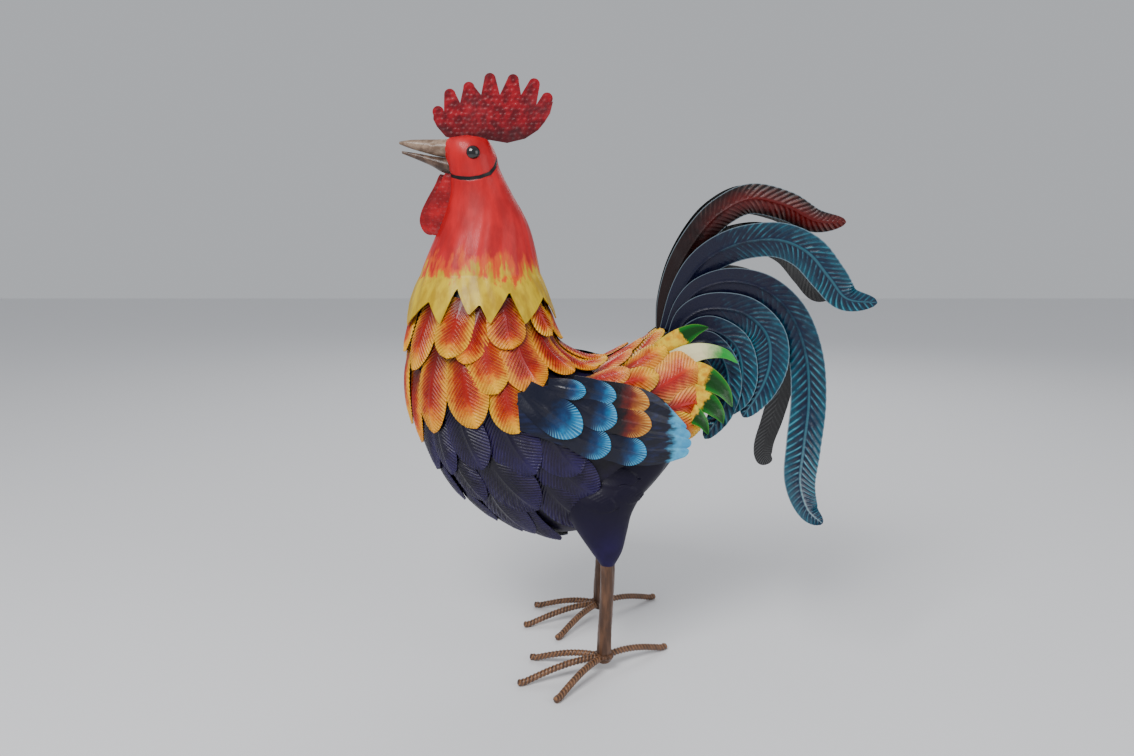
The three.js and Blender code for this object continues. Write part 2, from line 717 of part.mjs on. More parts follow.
// Tail: six long feathers a side, named from the top one down. The feathers of
// a side lie in layers, and each leans outwards with the square of its distance
// from the tail's root: by its splay, in shares, at TAIL_REACH from there.
const TAIL_ROOT = [115, 560];
const TAIL_REACH = 100;
const TAIL = [
  {
    name: "red",
    path: [
      [107, 575], [113, 626], [132, 686], [164, 740], [199, 776],
      [244, 796], [301, 784], [349, 760], [396, 758],
    ],
    splay: 4.2,
    width: 27,
    colour: 0x5a1f22,
  },
  {
    name: "upper",
    path: [
      [114, 575], [133, 635], [157, 678], [190, 707], [233, 725],
      [286, 729], [331, 709], [366, 669], [394, 636], [436, 631],
    ],
    splay: 9,
    width: 31,
    colour: 0x1d4a66,
  },
  {
    name: "long",
    path: [
      [120, 573], [139, 619], [168, 648], [214, 660], [267, 647], [310, 605],
      [334, 539], [338, 466], [328, 394], [319, 341], [326, 304], [345, 288],
    ],
    splay: 13,
    width: 28,
    steps: 12,
    colour: 0x2a7f8f,
  },
  {
    name: "middle",
    path: [[126, 563], [145, 598], [181, 614], [234, 608], [270, 577], [279, 534], [267, 487], [236, 435]],
    splay: 14.3,
    width: 32,
    colour: 0x24617c,
  },
  {
    name: "inner",
    path: [[132, 554], [155, 573], [184, 578], [221, 556], [234, 516], [229, 475], [204, 438]],
    splay: 14.8,
    width: 28,
    colour: 0x245a75,
  },
  {
    name: "lower",
    path: [[138, 544], [159, 557], [180, 555], [204, 526], [211, 487], [199, 444], [170, 401]],
    splay: 15.5,
    width: 24,
    colour: 0x26707f,
  },
];
TAIL.forEach(({ name, colour, splay, ...feather }, i) => {
  const layer = TAIL_ROOT_STEP * (i + 0.7);
  const sideways = ([x, z]) => {
    const away = Math.hypot(x - TAIL_ROOT[0], z - TAIL_ROOT[1]) / TAIL_REACH;
    return layer + splay * share * away ** 2;
  };
  const blade = cutBy(sickle({ ...feather, sideways }), bodyCut);
  addPiece("tail_" + name + "_left", blade, paint(colour));
  addPiece("tail_" + name + "_right", mirrored(blade), paint(colour));
});

// Tail coverts: yellow to green curls on both sides of the tail, which come
// out from under the saddle's last row. Their broad roots are joined.
const TAIL_COVERTS = [
  { path: [[110, 538], [126, 566], [149, 585], [174, 589]], tipY: 78, width: 15 },
  { path: [[116, 530], [142, 545], [168, 551], [198, 548], [216, 534]], tipY: 100, width: 16 },
  { path: [[138, 505], [156, 508], [176, 503], [196, 488], [208, 472]], tipY: 112, width: 16 },
  { path: [[138, 478], [156, 474], [173, 468], [187, 456], [194, 440]], tipY: 112, width: 15 },
  { path: [[134, 448], [148, 444], [162, 436], [172, 421]], tipY: 122, width: 15 },
];
function tailCoverts() {
  const base = leafRow({
    surface: onSkin,
    root: besideTail(13.0, [112, 436]),
    tip: besideTail(15.3, [146, 412]),
    leaves: 5,
    rows: 3,
    notch: 0.1,
    rise: [SEAT, SEAT + BASE_LIFT],
  });
  const curls = TAIL_COVERTS.map(({ path, tipY, width }) => {
    const { s, angle } = locate(path[0]);
    const root = overSkin(s, angle, SEAT + BASE_LIFT + SHEET / 2);
    const line = [[root.x / share, root.z / share], ...path.slice(1)];
    const sideways = (_, f) => mix(-root.y, tipY * share, f ** 2);
    return toSolid(sickle({ path: line, sideways, width, steps: 4, rootWidth: 0.8, camber: 0 }));
  });
  return toGeometry(curls.reduce((solid, curl) => solid.add(curl), toSolid(base)));
}
addPiece("tail_coverts_left", cutBy(tailCoverts(), bodyCut), paint(0x2f8f3a));
addPiece("tail_coverts_right", cutBy(mirrored(tailCoverts()), bodyCut), paint(0x2f8f3a));

// Thighs: cones that grow out of the flanks
const THIGH_SECTIONS = [
  { z: 190, x: 8.5, reach: 12, y: -109, half: 12 },
  { z: 215, x: 6, reach: 27, y: -108, half: 20 },
  { z: 247, x: -1, reach: 42, y: -104, half: 29 },
  { z: 278, x: -6, reach: 55, y: -99, half: 37 },
  { z: 310, x: 2, reach: 66, y: -91, half: 42 },
  { z: 345, x: 28, reach: 72, y: -78, half: 42 },
];
const THIGH_SIDES = 14;
function thigh() {
  const rings = THIGH_SECTIONS.map(({ z, x, reach, y, half }) =>
    range(THIGH_SIDES).map((j) => {
      const angle = (2 * Math.PI * j) / THIGH_SIDES;
      const point = new THREE.Vector3(x + reach * Math.cos(angle), y + half * Math.sin(angle), z);
      return point.multiplyScalar(share);
    }),
  );
  return loftSolid(rings);
}
const THIGH = paint(0x35285c);
addPiece("thigh_left", cutBy(thigh(), bodyCut), THIGH);
addPiece("thigh_right", cutBy(mirrored(thigh()), bodyCut), THIGH);

// Shanks: round bars with a hammered, slightly twisted surface
const SHANK_LINE = [[3, 12], [4, 50], [6, 100], [8, 150], [8.5, 190]];
const SHANK_SIDES = 10;
const SHANK_SWELL = 1.05; // the hammered bar is this much wider one way than round
function shank() {
  const bottom = SHANK_FOOT;
  const top = THIGH_SECTIONS[0].z * share - FIT;
  const steps = 6;
  const rings = range(steps + 1).map((i) => {
    const z = mix(bottom, top, i / steps);
    const x = smoothPoint(SHANK_LINE, (i / steps) * (SHANK_LINE.length - 1))[0] * share;
    return range(SHANK_SIDES).map((j) => {
      const turn = (2 * Math.PI * j) / SHANK_SIDES;
      const swell = 1 + (SHANK_SWELL - 1) * Math.cos(2 * turn + (i * Math.PI) / steps);
      const radius = (SHANK_WIDTH / 2) * swell;
      return new THREE.Vector3(x + radius * Math.cos(turn), -FOOT_SPACING / 2 + radius * Math.sin(turn), z);
    });
  });
  return loftSolid(rings);
}
const BRONZE = paint(0x6b4a30, 0.5, 0.5);
const shankGeometry = shank();
addPiece("shank_left", shankGeometry, BRONZE);

// Toes: rods that leave the shank, bow up a little and come down to a flat at
// the tip. Both feet point the same way. Turns are degrees from straight
// ahead, towards the right side.
const TOES = [
  { name: "inner", turn: 15, length: 73 },
  { name: "middle", turn: -22, length: 86 },
  { name: "outer", turn: -54, length: 77 },
  { name: "hind", turn: 147, length: 76 },
];
const TOE_SIDES = 6;
const FOOT_X = SHANK_LINE[0][0] * share;
function toe(y, { turn, length }, rod) {
  const heading = THREE.MathUtils.degToRad(turn);
  const direction = new THREE.Vector3(-Math.cos(heading), Math.sin(heading), 0);
  const across = new THREE.Vector3(0, 0, 1).cross(direction);
  const start = (SHANK_WIDTH / 2) * SHANK_SWELL + FIT;
  const restHeight = (TOE_ROD / 2) * Math.cos(Math.PI / TOE_SIDES);
  const middle = (distance) => {
    const f = Math.min((distance - start) / (length - TOE_FOOTPRINT - start), 1);
    return mix(TOE_ROOT_HEIGHT, restHeight, f ** 1.6) + TOE_ARCH * Math.sin(Math.PI * f) * (1 - 0.4 * f);
  };
  const steps = 5;
  const reaches = [...range(steps + 1).map((i) => mix(start, length - TOE_FOOTPRINT, i / steps)), length];
  const rings = reaches.map((distance) =>
    range(TOE_SIDES).map((j) => {
      const angle = (2 * Math.PI * j) / TOE_SIDES;
      return new THREE.Vector3(FOOT_X, y, middle(distance))
        .addScaledVector(direction, distance)
        .addScaledVector(across, (rod / 2) * Math.cos(angle))
        .add(new THREE.Vector3(0, 0, (rod / 2) * Math.sin(angle)));
    }),
  );
  return loftSolid(rings);
}
addPiece("shank_right", mirrored(shankGeometry), BRONZE);

// The two rods beside the middle toe are cut back where they are welded to it.
for (const [side, y] of [["left", -FOOT_SPACING / 2], ["right", FOOT_SPACING / 2]]) {
  const middleToe = TOES.find(({ name }) => name === "middle");
  const middleCut = toSolid(toe(y, middleToe, TOE_ROD + 2 * FIT));
  for (const feature of TOES) {
    const rod = toe(y, feature, TOE_ROD);
    const welded = feature.name === "inner" || feature.name === "outer";
    addPiece("toe_" + feature.name + "_" + side, welded ? cutBy(rod, middleCut) : rod, BRONZE);
  }
}

// The origin is the middle of the object's box, on the floor.
const box = new THREE.Box3().setFromObject(rooster);
rooster.position.set(-(box.min.x + box.max.x) / 2, -(box.min.y + box.max.y) / 2, -box.min.z);

export default rooster;
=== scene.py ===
# The looks of a painted sheet-metal rooster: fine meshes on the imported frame, paint, light and camera.
# Metres, +Z up. The rooster looks along -X and its left side faces -Y.
import math

import bmesh
import bpy
import numpy as np
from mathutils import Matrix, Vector, geometry


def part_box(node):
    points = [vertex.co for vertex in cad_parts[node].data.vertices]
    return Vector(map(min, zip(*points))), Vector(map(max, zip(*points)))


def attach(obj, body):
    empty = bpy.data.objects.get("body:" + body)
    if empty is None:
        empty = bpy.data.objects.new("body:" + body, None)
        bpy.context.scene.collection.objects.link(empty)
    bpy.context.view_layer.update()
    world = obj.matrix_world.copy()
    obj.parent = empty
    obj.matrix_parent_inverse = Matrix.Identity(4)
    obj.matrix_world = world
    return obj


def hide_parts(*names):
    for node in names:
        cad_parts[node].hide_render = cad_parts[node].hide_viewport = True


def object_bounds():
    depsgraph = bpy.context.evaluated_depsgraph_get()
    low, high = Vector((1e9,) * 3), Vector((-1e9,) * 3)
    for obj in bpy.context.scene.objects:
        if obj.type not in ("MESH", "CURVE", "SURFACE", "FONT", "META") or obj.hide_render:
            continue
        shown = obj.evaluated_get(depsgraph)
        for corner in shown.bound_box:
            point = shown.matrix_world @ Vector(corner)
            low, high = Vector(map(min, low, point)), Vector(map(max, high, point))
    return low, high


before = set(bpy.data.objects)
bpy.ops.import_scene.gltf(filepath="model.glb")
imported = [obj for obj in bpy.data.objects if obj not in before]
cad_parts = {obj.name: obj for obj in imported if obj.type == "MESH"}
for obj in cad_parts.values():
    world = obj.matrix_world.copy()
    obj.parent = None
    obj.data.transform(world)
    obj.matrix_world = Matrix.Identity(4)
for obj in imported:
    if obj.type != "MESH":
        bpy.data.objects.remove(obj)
CAD_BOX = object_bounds()

# Sizes in metres
HEIGHT = CAD_BOX[1][2]
SHARE = HEIGHT / 1000  # free forms keep their proportions as thousandths of the height
MM = 0.001
SHEET = 1.0 * MM
FOOT_SPACING = 120 * MM
SEAT = 1.2 * MM  # under a leaf's root, above the body shell
ROW_LIFT = 4.6 * MM  # how far a leaf's tip rises
SKIRT_LIFT = 7.8 * MM  # how far the neck's cut edge stands out
WING_STAND = 6.8 * MM  # wing sheet above the body shell
COVERT_LIFT = 3.4 * MM
BEAK_TIP_X = -340  # thousandths of the height, from the point midway between the shanks

# Free forms are placed from the floor point midway between the shanks. The
# beak's tip and middle plane show where that point is in the frame.
BEAK_LOW, BEAK_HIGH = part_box("beak_upper")
START = np.array([BEAK_LOW[0] - BEAK_TIP_X * SHARE, (BEAK_LOW[1] + BEAK_HIGH[1]) / 2, 0.0])
RANDOM = np.random.default_rng(7)

# The photograph's camera, from the point midway between the shanks
PHOTO_WIDTH = 1134  # px
PHOTO_MIDDLE = (567, 378)  # px
FOCAL_LENGTH = 900  # px
FILM = 36.0
PITCH = math.radians(10)  # down
CAMERA = np.array([-33, -851.4, 419.4]) * MM

# Curves


def smooth(values, t):
    """The value at t on a smooth line through values, which stand at 0, 1, 2 and so on."""
    values = np.asarray(values, float)
    t = np.asarray(t, float)
    last = len(values) - 1
    i = np.clip(np.floor(t), 0, last - 1).astype(int)
    f = t - i
    if values.ndim == 2:
        f = f[..., None]
    b, c = values[i], values[i + 1]
    first, final = (i == 0), (i + 1 == last)
    if values.ndim == 2:
        first, final = first[..., None], final[..., None]
    a = np.where(first, 2 * b - c, values[np.maximum(i - 1, 0)])
    d = np.where(final, 2 * c - b, values[np.minimum(i + 2, last)])
    return b + 0.5 * f * (c - a + f * (2 * a - 5 * b + 4 * c - d + f * (3 * (b - c) + d - a)))


def mix(a, b, f):
    return a + (b - a) * f


def turns(count):
    """Angles evenly round a full turn."""
    return np.linspace(0, 2 * math.pi, count, endpoint=False)


def grid(rows, columns):
    return np.meshgrid(rows, columns, indexing="ij")


def joined(*coordinates):
    return np.stack(np.broadcast_arrays(*coordinates), -1)


def ease(x, low=0.0, high=1.0):
    t = np.clip((np.asarray(x, float) - low) / (high - low), 0, 1)
    return t * t * (3 - 2 * t)


def unit(vectors):
    return vectors / np.maximum(np.linalg.norm(vectors, axis=-1, keepdims=True), 1e-12)


# The figure's one long form: an ellipse swept between the line down the
# throat, breast and belly and the line down the nape and back.
STATIONS = [
    ("crown", (-240, 899), (-225, 901), 7),
    ("brow", (-260, 893), (-193, 893), 30),
    ("eye", (-264, 872), (-179, 870), 40),
    ("cheek", (-258, 841), (-172, 844), 41),
    ("throat", (-259, 801), (-153, 806), 45),
    ("neck", (-277, 748), (-124, 750), 58),
    ("collar", (-310, 669), (-106, 672), 82),
    ("neck edge", (-321, 605), (-96, 609), 99),
    ("upper breast", (-328, 542), (-77, 553), 114),
    ("breast", (-328, 465), (-37, 523), 129),
    ("lower breast", (-304, 386), (4, 517), 138),
    ("belly", (-252, 303), (46, 533), 142),
    ("keel", (-172, 244), (80, 552), 138),
    ("under thighs", (-69, 214), (108, 568), 125),
    ("vent", (31, 246), (132, 570), 105),
    ("rump", (110, 326), (148, 556), 80),
    ("tail root", (150, 396), (163, 524), 44),
]
LAST_STATION = len(STATIONS) - 1
COLLAR = 6
FRONT_LINE = [front for _, front, _, _ in STATIONS]
BACK_LINE = [back for _, _, back, _ in STATIONS]
HALF_WIDTHS = [half for _, _, _, half in STATIONS]


def section_at(s):
    return smooth(FRONT_LINE, s), smooth(BACK_LINE, s), smooth(HALF_WIDTHS, s)


def skin(s, angle):
    """Points on the skin at station s, at an angle round from the front line; below zero is left."""
    s, angle = np.broadcast_arrays(np.asarray(s, float), np.asarray(angle, float))
    front, back, half = section_at(s)
    c = (1 + np.cos(angle)) / 2
    flat = mix(back, front, c[..., None])
    return np.stack([flat[..., 0], half * np.sin(angle), flat[..., 1]], -1) * SHARE


def skin_normal(s, angle):
    step = 0.02
    inside = np.clip(s, step, LAST_STATION - step)
    along = skin(inside + step, angle) - skin(inside - step, angle)
    around = skin(inside, angle + step) - skin(inside, angle - step)
    return unit(np.cross(around, along))


def on_skin(place, lift):
    s, angle = place[..., 0], place[..., 1]
    return skin(s, angle) + skin_normal(s, angle) * lift[..., None]


def locate(points):
    """Station and angle on the left half of the skin of points seen from the side."""
    points = np.atleast_2d(np.asarray(points, float))

    def look(s):
        front, back, _ = section_at(s)
        d, p = front - back, points - back
        side = d[:, 0] * p[:, 1] - d[:, 1] * p[:, 0]
        return side, (p * d).sum(1) / (d * d).sum(1)

    step = 0.25
    low = np.zeros(len(points))
    high = np.full(len(points), float(LAST_STATION))
    found = np.zeros(len(points), bool)
    for s in np.arange(LAST_STATION, 0, -step):
        after, _ = look(np.full(len(points), s))
        before, _ = look(np.full(len(points), s - step))
        _, along = look(np.full(len(points), s - step / 2))
        hit = ~found & ((after > 0) != (before > 0)) & (abs(along - 0.5) < 0.56)
        low[hit], high[hit] = s - step, s
        found |= hit
    low_side = look(low)[0] > 0
    for _ in range(24):
        middle = (low + high) / 2
        same = (look(middle)[0] > 0) == low_side
        low, high = np.where(same, middle, low), np.where(same, high, middle)
    s = (low + high) / 2
    cosine = 2 * look(s)[1] - 1
    return np.stack([s, -np.arccos(np.clip(cosine, -1, 1))], 1), np.abs(cosine) > 1


def pixels_of(points):
    """Where the photograph's camera sees points."""
    away = points - CAMERA
    depth = away[..., 1] * math.cos(PITCH) - away[..., 2] * math.sin(PITCH)
    down = -away[..., 1] * math.sin(PITCH) - away[..., 2] * math.cos(PITCH)
    return np.stack([away[..., 0], down], -1) * FOCAL_LENGTH / depth[..., None] + PHOTO_MIDDLE


def seen_grid():
    s, angle = grid(np.arange(1, LAST_STATION, 0.05), np.arange(-3.1, 0, 0.025))
    points, normals = skin(s, angle), skin_normal(s, angle)
    seen = ((CAMERA - points) * normals).sum(-1) > 0
    return np.stack([s, angle], -1)[seen], pixels_of(points[seen])


SEEN_PLACES, SEEN_PIXELS = seen_grid()


def place_at(pixel):
    """Station and angle of the skin's point that the camera sees at a pixel."""
    place = SEEN_PLACES[((SEEN_PIXELS - pixel) ** 2).sum(1).argmin()]
    for _ in range(3):
        here = pixels_of(skin(*place))
        step = 1e-3
        slope = np.stack([(pixels_of(skin(*(place + move))) - here) / step
                          for move in ([step, 0], [0, step])], -1)
        if abs(np.linalg.det(slope)) > 500:
            place = place + np.clip(np.linalg.solve(slope, np.array(pixel) - here), -0.05, 0.05)
    return place


# Meshes. A part is one closed surface: points, faces, and for each point its
# place on the leaf (uv), a number that varies the paint (tone), and how many
# barbs lie between it and the root (barb).

UNDERSIDE = -1.0  # place across the leaf that marks the underside
MERGE_DISTANCE = 0.001 * MM


def grid_faces(rows, columns, wraps=False):
    i, j = grid(np.arange(rows - 1), np.arange(columns if wraps else columns - 1))
    n = (j + 1) % columns
    quads = np.stack([i * columns + j, (i + 1) * columns + j, (i + 1) * columns + n, i * columns + n], -1)
    return quads.reshape(-1, 4)


def outward(points, faces):
    """Turns all faces of a closed surface outwards."""
    fans = [(face[0], b, c) for face in faces for b, c in zip(face[1:-1], face[2:])]
    a, b, c = (points[corners] for corners in np.array(fans).T)
    volume = np.einsum("ij,ij->i", a, np.cross(b, c)).sum()
    return faces if volume > 0 else [face[::-1] for face in faces]


def closed_sheet(top, bottom, uv, tone=0.5, barb=None):
    """A sheet between two grids of points. The underside is plainer: its margins and its middle line."""
    rows, columns = top.shape[:2]
    few = np.array([0, columns // 4, columns // 2, 3 * columns // 4, columns - 1])
    points = np.concatenate([top.reshape(-1, 3), bottom[:, few].reshape(-1, 3)])
    count = rows * columns
    faces = grid_faces(rows, columns).tolist()
    faces += (grid_faces(rows, len(few))[:, ::-1] + count).tolist()
    for row, turn in ((0, 1), (rows - 1, -1)):
        for k, (first, last) in enumerate(zip(few[:-1], few[1:])):
            a = count + row * len(few) + k
            above = [row * columns + j for j in range(first, last + 1)]
            faces.append((above + [a + 1, a])[::turn])
    for column, low, turn in ((0, 0, -1), (columns - 1, len(few) - 1, 1)):
        for i in range(rows - 1):
            a, b = i * columns + column, (i + 1) * columns + column
            c, d = count + (i + 1) * len(few) + low, count + i * len(few) + low
            faces.append([a, b, c, d][::turn])
    across = np.full((rows, len(few)), UNDERSIDE)
    barb = np.zeros((rows, columns)) if barb is None else barb
    return {
        "points": points,
        "faces": outward(points, faces),
        "uv": np.concatenate([uv.reshape(-1, 2), np.stack([across, uv[:, few, 1]], -1).reshape(-1, 2)]),
        "tone": np.full(len(points), tone),
        "barb": np.concatenate([barb.ravel(), barb[:, few].ravel()]),
    }


def closed_tube(rings):
    """A tube of rings, closed at both ends."""
    rows, columns = rings.shape[:2]
    first = np.broadcast_to(rings[0].mean(0), (1, columns, 3))
    final = np.broadcast_to(rings[-1].mean(0), (1, columns, 3))
    points = np.concatenate([first, rings, final]).reshape(-1, 3)
    v, u = grid(np.linspace(0, 1, rows + 2), np.linspace(0, 1, columns))
    return solid(points, grid_faces(rows + 2, columns, True), np.stack([u, v], -1).reshape(-1, 2))


def ends_added(values):
    """Values of a tube's rings with zeros for its two closed ends."""
    end = np.zeros_like(values[:1])
    return np.concatenate([end, values, end]).ravel()


def solid(points, faces, uv=None):
    count = len(points)
    return {
        "points": points,
        "faces": outward(points, [list(face) for face in faces]),
        "uv": np.zeros((count, 2)) if uv is None else uv,
        "tone": np.full(count, 0.5),
        "barb": np.zeros(count),
    }


def mirrored(part):
    return {**part, "points": part["points"] * [1, -1, 1], "faces": [face[::-1] for face in part["faces"]]}


def on_side(side, parts):
    """Parts made for the left side, on this side."""
    return parts if side == "left" else [mirrored(part) for part in parts]


def make_piece(name, parts, paint, nodes=(), sharp=40):
    """One object on the body "root" from parts, in the frame's place."""
    whole = {key: np.concatenate([part[key] for part in parts]) for key in ("points", "uv", "tone", "barb")}
    starts = np.cumsum([0] + [len(part["points"]) for part in parts])
    faces = []
    for part, start in zip(parts, starts):
        faces += [[corner + int(start) for corner in face] for face in part["faces"]]
    mesh = bpy.data.meshes.new(name)
    mesh.from_pydata((whole["points"] + START).tolist(), [], faces)
    corner = np.empty(len(mesh.loops), int)
    mesh.loops.foreach_get("vertex_index", corner)
    mesh.uv_layers.new(name="leaf").data.foreach_set("uv", whole["uv"][corner].ravel())
    for key in ("tone", "barb"):
        mesh.attributes.new(key, "FLOAT", "POINT").data.foreach_set("value", whole[key])
    merge_close(mesh)
    mesh.shade_smooth()
    mesh.set_sharp_from_angle(angle=math.radians(sharp))
    piece = bpy.data.objects.new(name, mesh)
    bpy.context.scene.collection.objects.link(piece)
    piece.data.materials.append(paint)
    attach(piece, "root")
    if nodes:
        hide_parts(*nodes)
    return piece


def merge_close(mesh):
    work = bmesh.new()
    work.from_mesh(mesh)
    bmesh.ops.remove_doubles(work, verts=work.verts, dist=MERGE_DISTANCE)
    bmesh.ops.dissolve_degenerate(work, edges=work.edges, dist=1e-8)
    work.to_mesh(mesh)
    work.free()


# Paint. Every finish is enamel or lacquer: a thin coat over a base with a little wear.


def srgb(code):
    """A linear colour from a screen colour such as "c8402a"."""
    values = [int(code[i:i + 2], 16) / 255 for i in (0, 2, 4)]
    return tuple(v / 12.92 if v <= 0.04045 else ((v + 0.055) / 1.055) ** 2.4 for v in values)


class Finish:
    """A procedural material: nodes are added by short calls and end in one Principled shader."""

    def __init__(self, name, roughness=0.32, coat=0.15, metallic=0.0, specular=0.3):
        self.material = bpy.data.materials.new(name)
        self.material.use_nodes = True
        self.tree = self.material.node_tree
        self.shader = self.tree.nodes["Principled BSDF"]
        self.shader.inputs["Roughness"].default_value = roughness
        self.shader.inputs["Coat Weight"].default_value = coat
        self.shader.inputs["Coat Roughness"].default_value = 0.12
        self.shader.inputs["Metallic"].default_value = metallic
        self.shader.inputs["Specular IOR Level"].default_value = specular

    def put(self, socket, value):
        """Links a socket, or sets it to a number or to a screen colour's code."""
        if isinstance(value, bpy.types.NodeSocket):
            self.tree.links.new(value, socket)
        elif isinstance(value, str):
            socket.default_value = (*srgb(value), 1.0)
        else:
            socket.default_value = value

    def math(self, operation, a, b=0.0, c=0.0):
        node = self.tree.nodes.new("ShaderNodeMath")
        node.operation = operation
        for socket, value in zip(node.inputs, (a, b, c)):
            self.put(socket, value)
        return node.outputs[0]

    def plus(self, a, b):
        return self.math("ADD", a, b)

    def times(self, a, b):
        return self.math("MULTIPLY", a, b)

    def scaled(self, value, scale, start):
        return self.math("MULTIPLY_ADD", value, scale, start)

    def blend(self, factor, a, b):
        node = self.tree.nodes.new("ShaderNodeMix")
        node.data_type = "RGBA"
        for socket, value in zip((node.inputs[0], node.inputs[6], node.inputs[7]), (factor, a, b)):
            self.put(socket, value)
        return node.outputs[2]

    def step(self, value, low, high):
        node = self.tree.nodes.new("ShaderNodeMapRange")
        node.interpolation_type = "SMOOTHSTEP"
        self.put(node.inputs["Value"], value)
        node.inputs["From Min"].default_value = low
        node.inputs["From Max"].default_value = high
        return node.outputs[0]

    def parts_of(self, vector):
        node = self.tree.nodes.new("ShaderNodeSeparateXYZ")
        self.put(node.inputs[0], vector)
        return node.outputs

    def place(self):
        """Object coordinates, in metres in the frame."""
        return self.tree.nodes.new("ShaderNodeTexCoord").outputs["Object"]

    def height(self):
        return self.parts_of(self.place())[2]

    def on_sheet(self):
        """Places across (0 to 1, or UNDERSIDE) and along (0 to 1) a sheet."""
        node = self.tree.nodes.new("ShaderNodeUVMap")
        node.uv_map = "leaf"
        return self.parts_of(node.outputs[0])[:2]

    def from_rib(self, across):
        """How far from the middle rib: 0 on it, 1 at the edge."""
        return self.math("ABSOLUTE", self.scaled(across, 2.0, -1.0))

    def underside(self, across, colour, under):
        return self.blend(self.step(across, -0.3, -0.6), colour, under)

    def reading(self, name):
        """A number that the mesh holds at each point."""
        node = self.tree.nodes.new("ShaderNodeAttribute")
        node.attribute_name = name
        return node.outputs["Fac"]

    def noise(self, size, detail=3.0, stretch=(1, 1, 1)):
        """Noise whose lumps measure about size metres."""
        scale = self.tree.nodes.new("ShaderNodeVectorMath")
        scale.operation = "MULTIPLY"
        self.put(scale.inputs[0], self.place())
        scale.inputs[1].default_value = stretch
        node = self.tree.nodes.new("ShaderNodeTexNoise")
        self.put(node.inputs["Vector"], scale.outputs[0])
        node.inputs["Scale"].default_value = 1 / size
        node.inputs["Detail"].default_value = detail
        node.inputs["Roughness"].default_value = 0.55
        return node.outputs[0]

    def wobble(self, size, detail, reach):
        """Noise about 0, for ragged borders."""
        return self.scaled(self.noise(size, detail), reach, -reach / 2)

    def patches(self, dark, light, size, detail=4, low=0.35, high=0.7, stretch=(1, 1, 1)):
        """Two tones of one paint in soft patches."""
        return self.blend(self.step(self.noise(size, detail, stretch), low, high), dark, light)

    def bump(self, height, depth):
        node = self.tree.nodes.new("ShaderNodeBump")
        node.inputs["Distance"].default_value = depth
        node.inputs["Strength"].default_value = 1.0
        self.put(node.inputs["Height"], height)
        self.put(self.shader.inputs["Normal"], node.outputs[0])

    def uneven(self, depth):
        """Broad dents of hand-worked sheet and the fine grain of the paint."""
        self.bump(self.plus(self.noise(0.014, 2), self.times(self.noise(0.0016, 2), 0.12)), depth)

    def finish(self, colour, wear=0.12):
        """Colour with a little dirt and wear, and roughness that varies with it."""
        grime = self.step(self.noise(0.018, 5), 0.45, 0.75)
        worn = self.blend(self.times(grime, wear), colour, GRIME)
        self.put(self.shader.inputs["Base Color"], worn)
        base = self.shader.inputs["Roughness"].default_value
        self.put(self.shader.inputs["Roughness"], self.scaled(grime, 0.18, base))
        return self.material


GRIME = "302c30"
BARB_GAP = "1c0d0f"
COLLAR_RED = 686 * SHARE  # where the head's red ends
SKIRT_TIPS = 578 * SHARE


def barb_wave(f, wobble):
    """A wave that rises once for each barb, with wavering lines."""
    phase = f.plus(f.reading("barb"), f.times(wobble, 0.25))
    return f.math("SINE", f.times(phase, 2 * math.pi))


def with_barbs(f, colour, wave, share, barb, strokes, gaps):
    """Light barbs in patches and dark gaps between them, where share is above 0."""
    patchy = f.step(f.noise(0.009, 3), 0.3, 0.6)
    line = f.times(f.times(f.step(wave, 0.3, 1.0), patchy), share)
    gap = f.times(f.times(f.step(wave, -0.2, -1.0), share), gaps)
    return f.blend(f.times(line, strokes), f.blend(gap, colour, BARB_GAP), barb)


def barb_bump(f, wave, share):
    f.bump(f.plus(f.times(wave, share), f.times(f.noise(0.002, 3), 0.8)), 0.0003)


def leaf_paint(name, first, second, barb, under, core_reach, strokes):
    """A pressed feather with lighter barbs and dark gaps between them, and painted shade on its tucked-in
    root.

    The leaves vary between two mixes, each of a core, middle and edge colour.
    """
    f = Finish(name)
    across, along = f.on_sheet()
    side = f.from_rib(across)
    wobble = f.wobble(0.006, 4, 0.8)
    rough_side = f.plus(side, wobble)
    rough_along = f.plus(along, f.times(wobble, 0.35))
    rim = f.math("MAXIMUM", f.step(rough_side, 0.45, 1.0), f.step(rough_along, 0.7, 0.93))
    heart = f.times(f.step(rough_side, core_reach, 0.1), f.step(rough_along, 0.88, 0.55))
    mixes = [f.blend(rim, f.blend(heart, middle, core), edge) for core, middle, edge in (first, second)]
    colour = f.blend(f.step(f.reading("tone"), 0.45, 0.75), *mixes)
    wave = barb_wave(f, wobble)
    off_rib = f.step(side, 0.05, 0.2)
    outer = f.times(off_rib, f.scaled(f.step(side, 0.15, 0.8), 0.8, 0.2))
    colour = with_barbs(f, colour, wave, outer, barb, strokes, 0.45)
    # Painted shade: the tucked-in root darkens towards the underside colour, as if shadowed by the leaves
    # above.
    colour = f.blend(f.times(f.step(along, 0.45, 0.1), 0.65), colour, under)
    barb_bump(f, wave, off_rib)
    return f.finish(f.underside(across, colour, under))


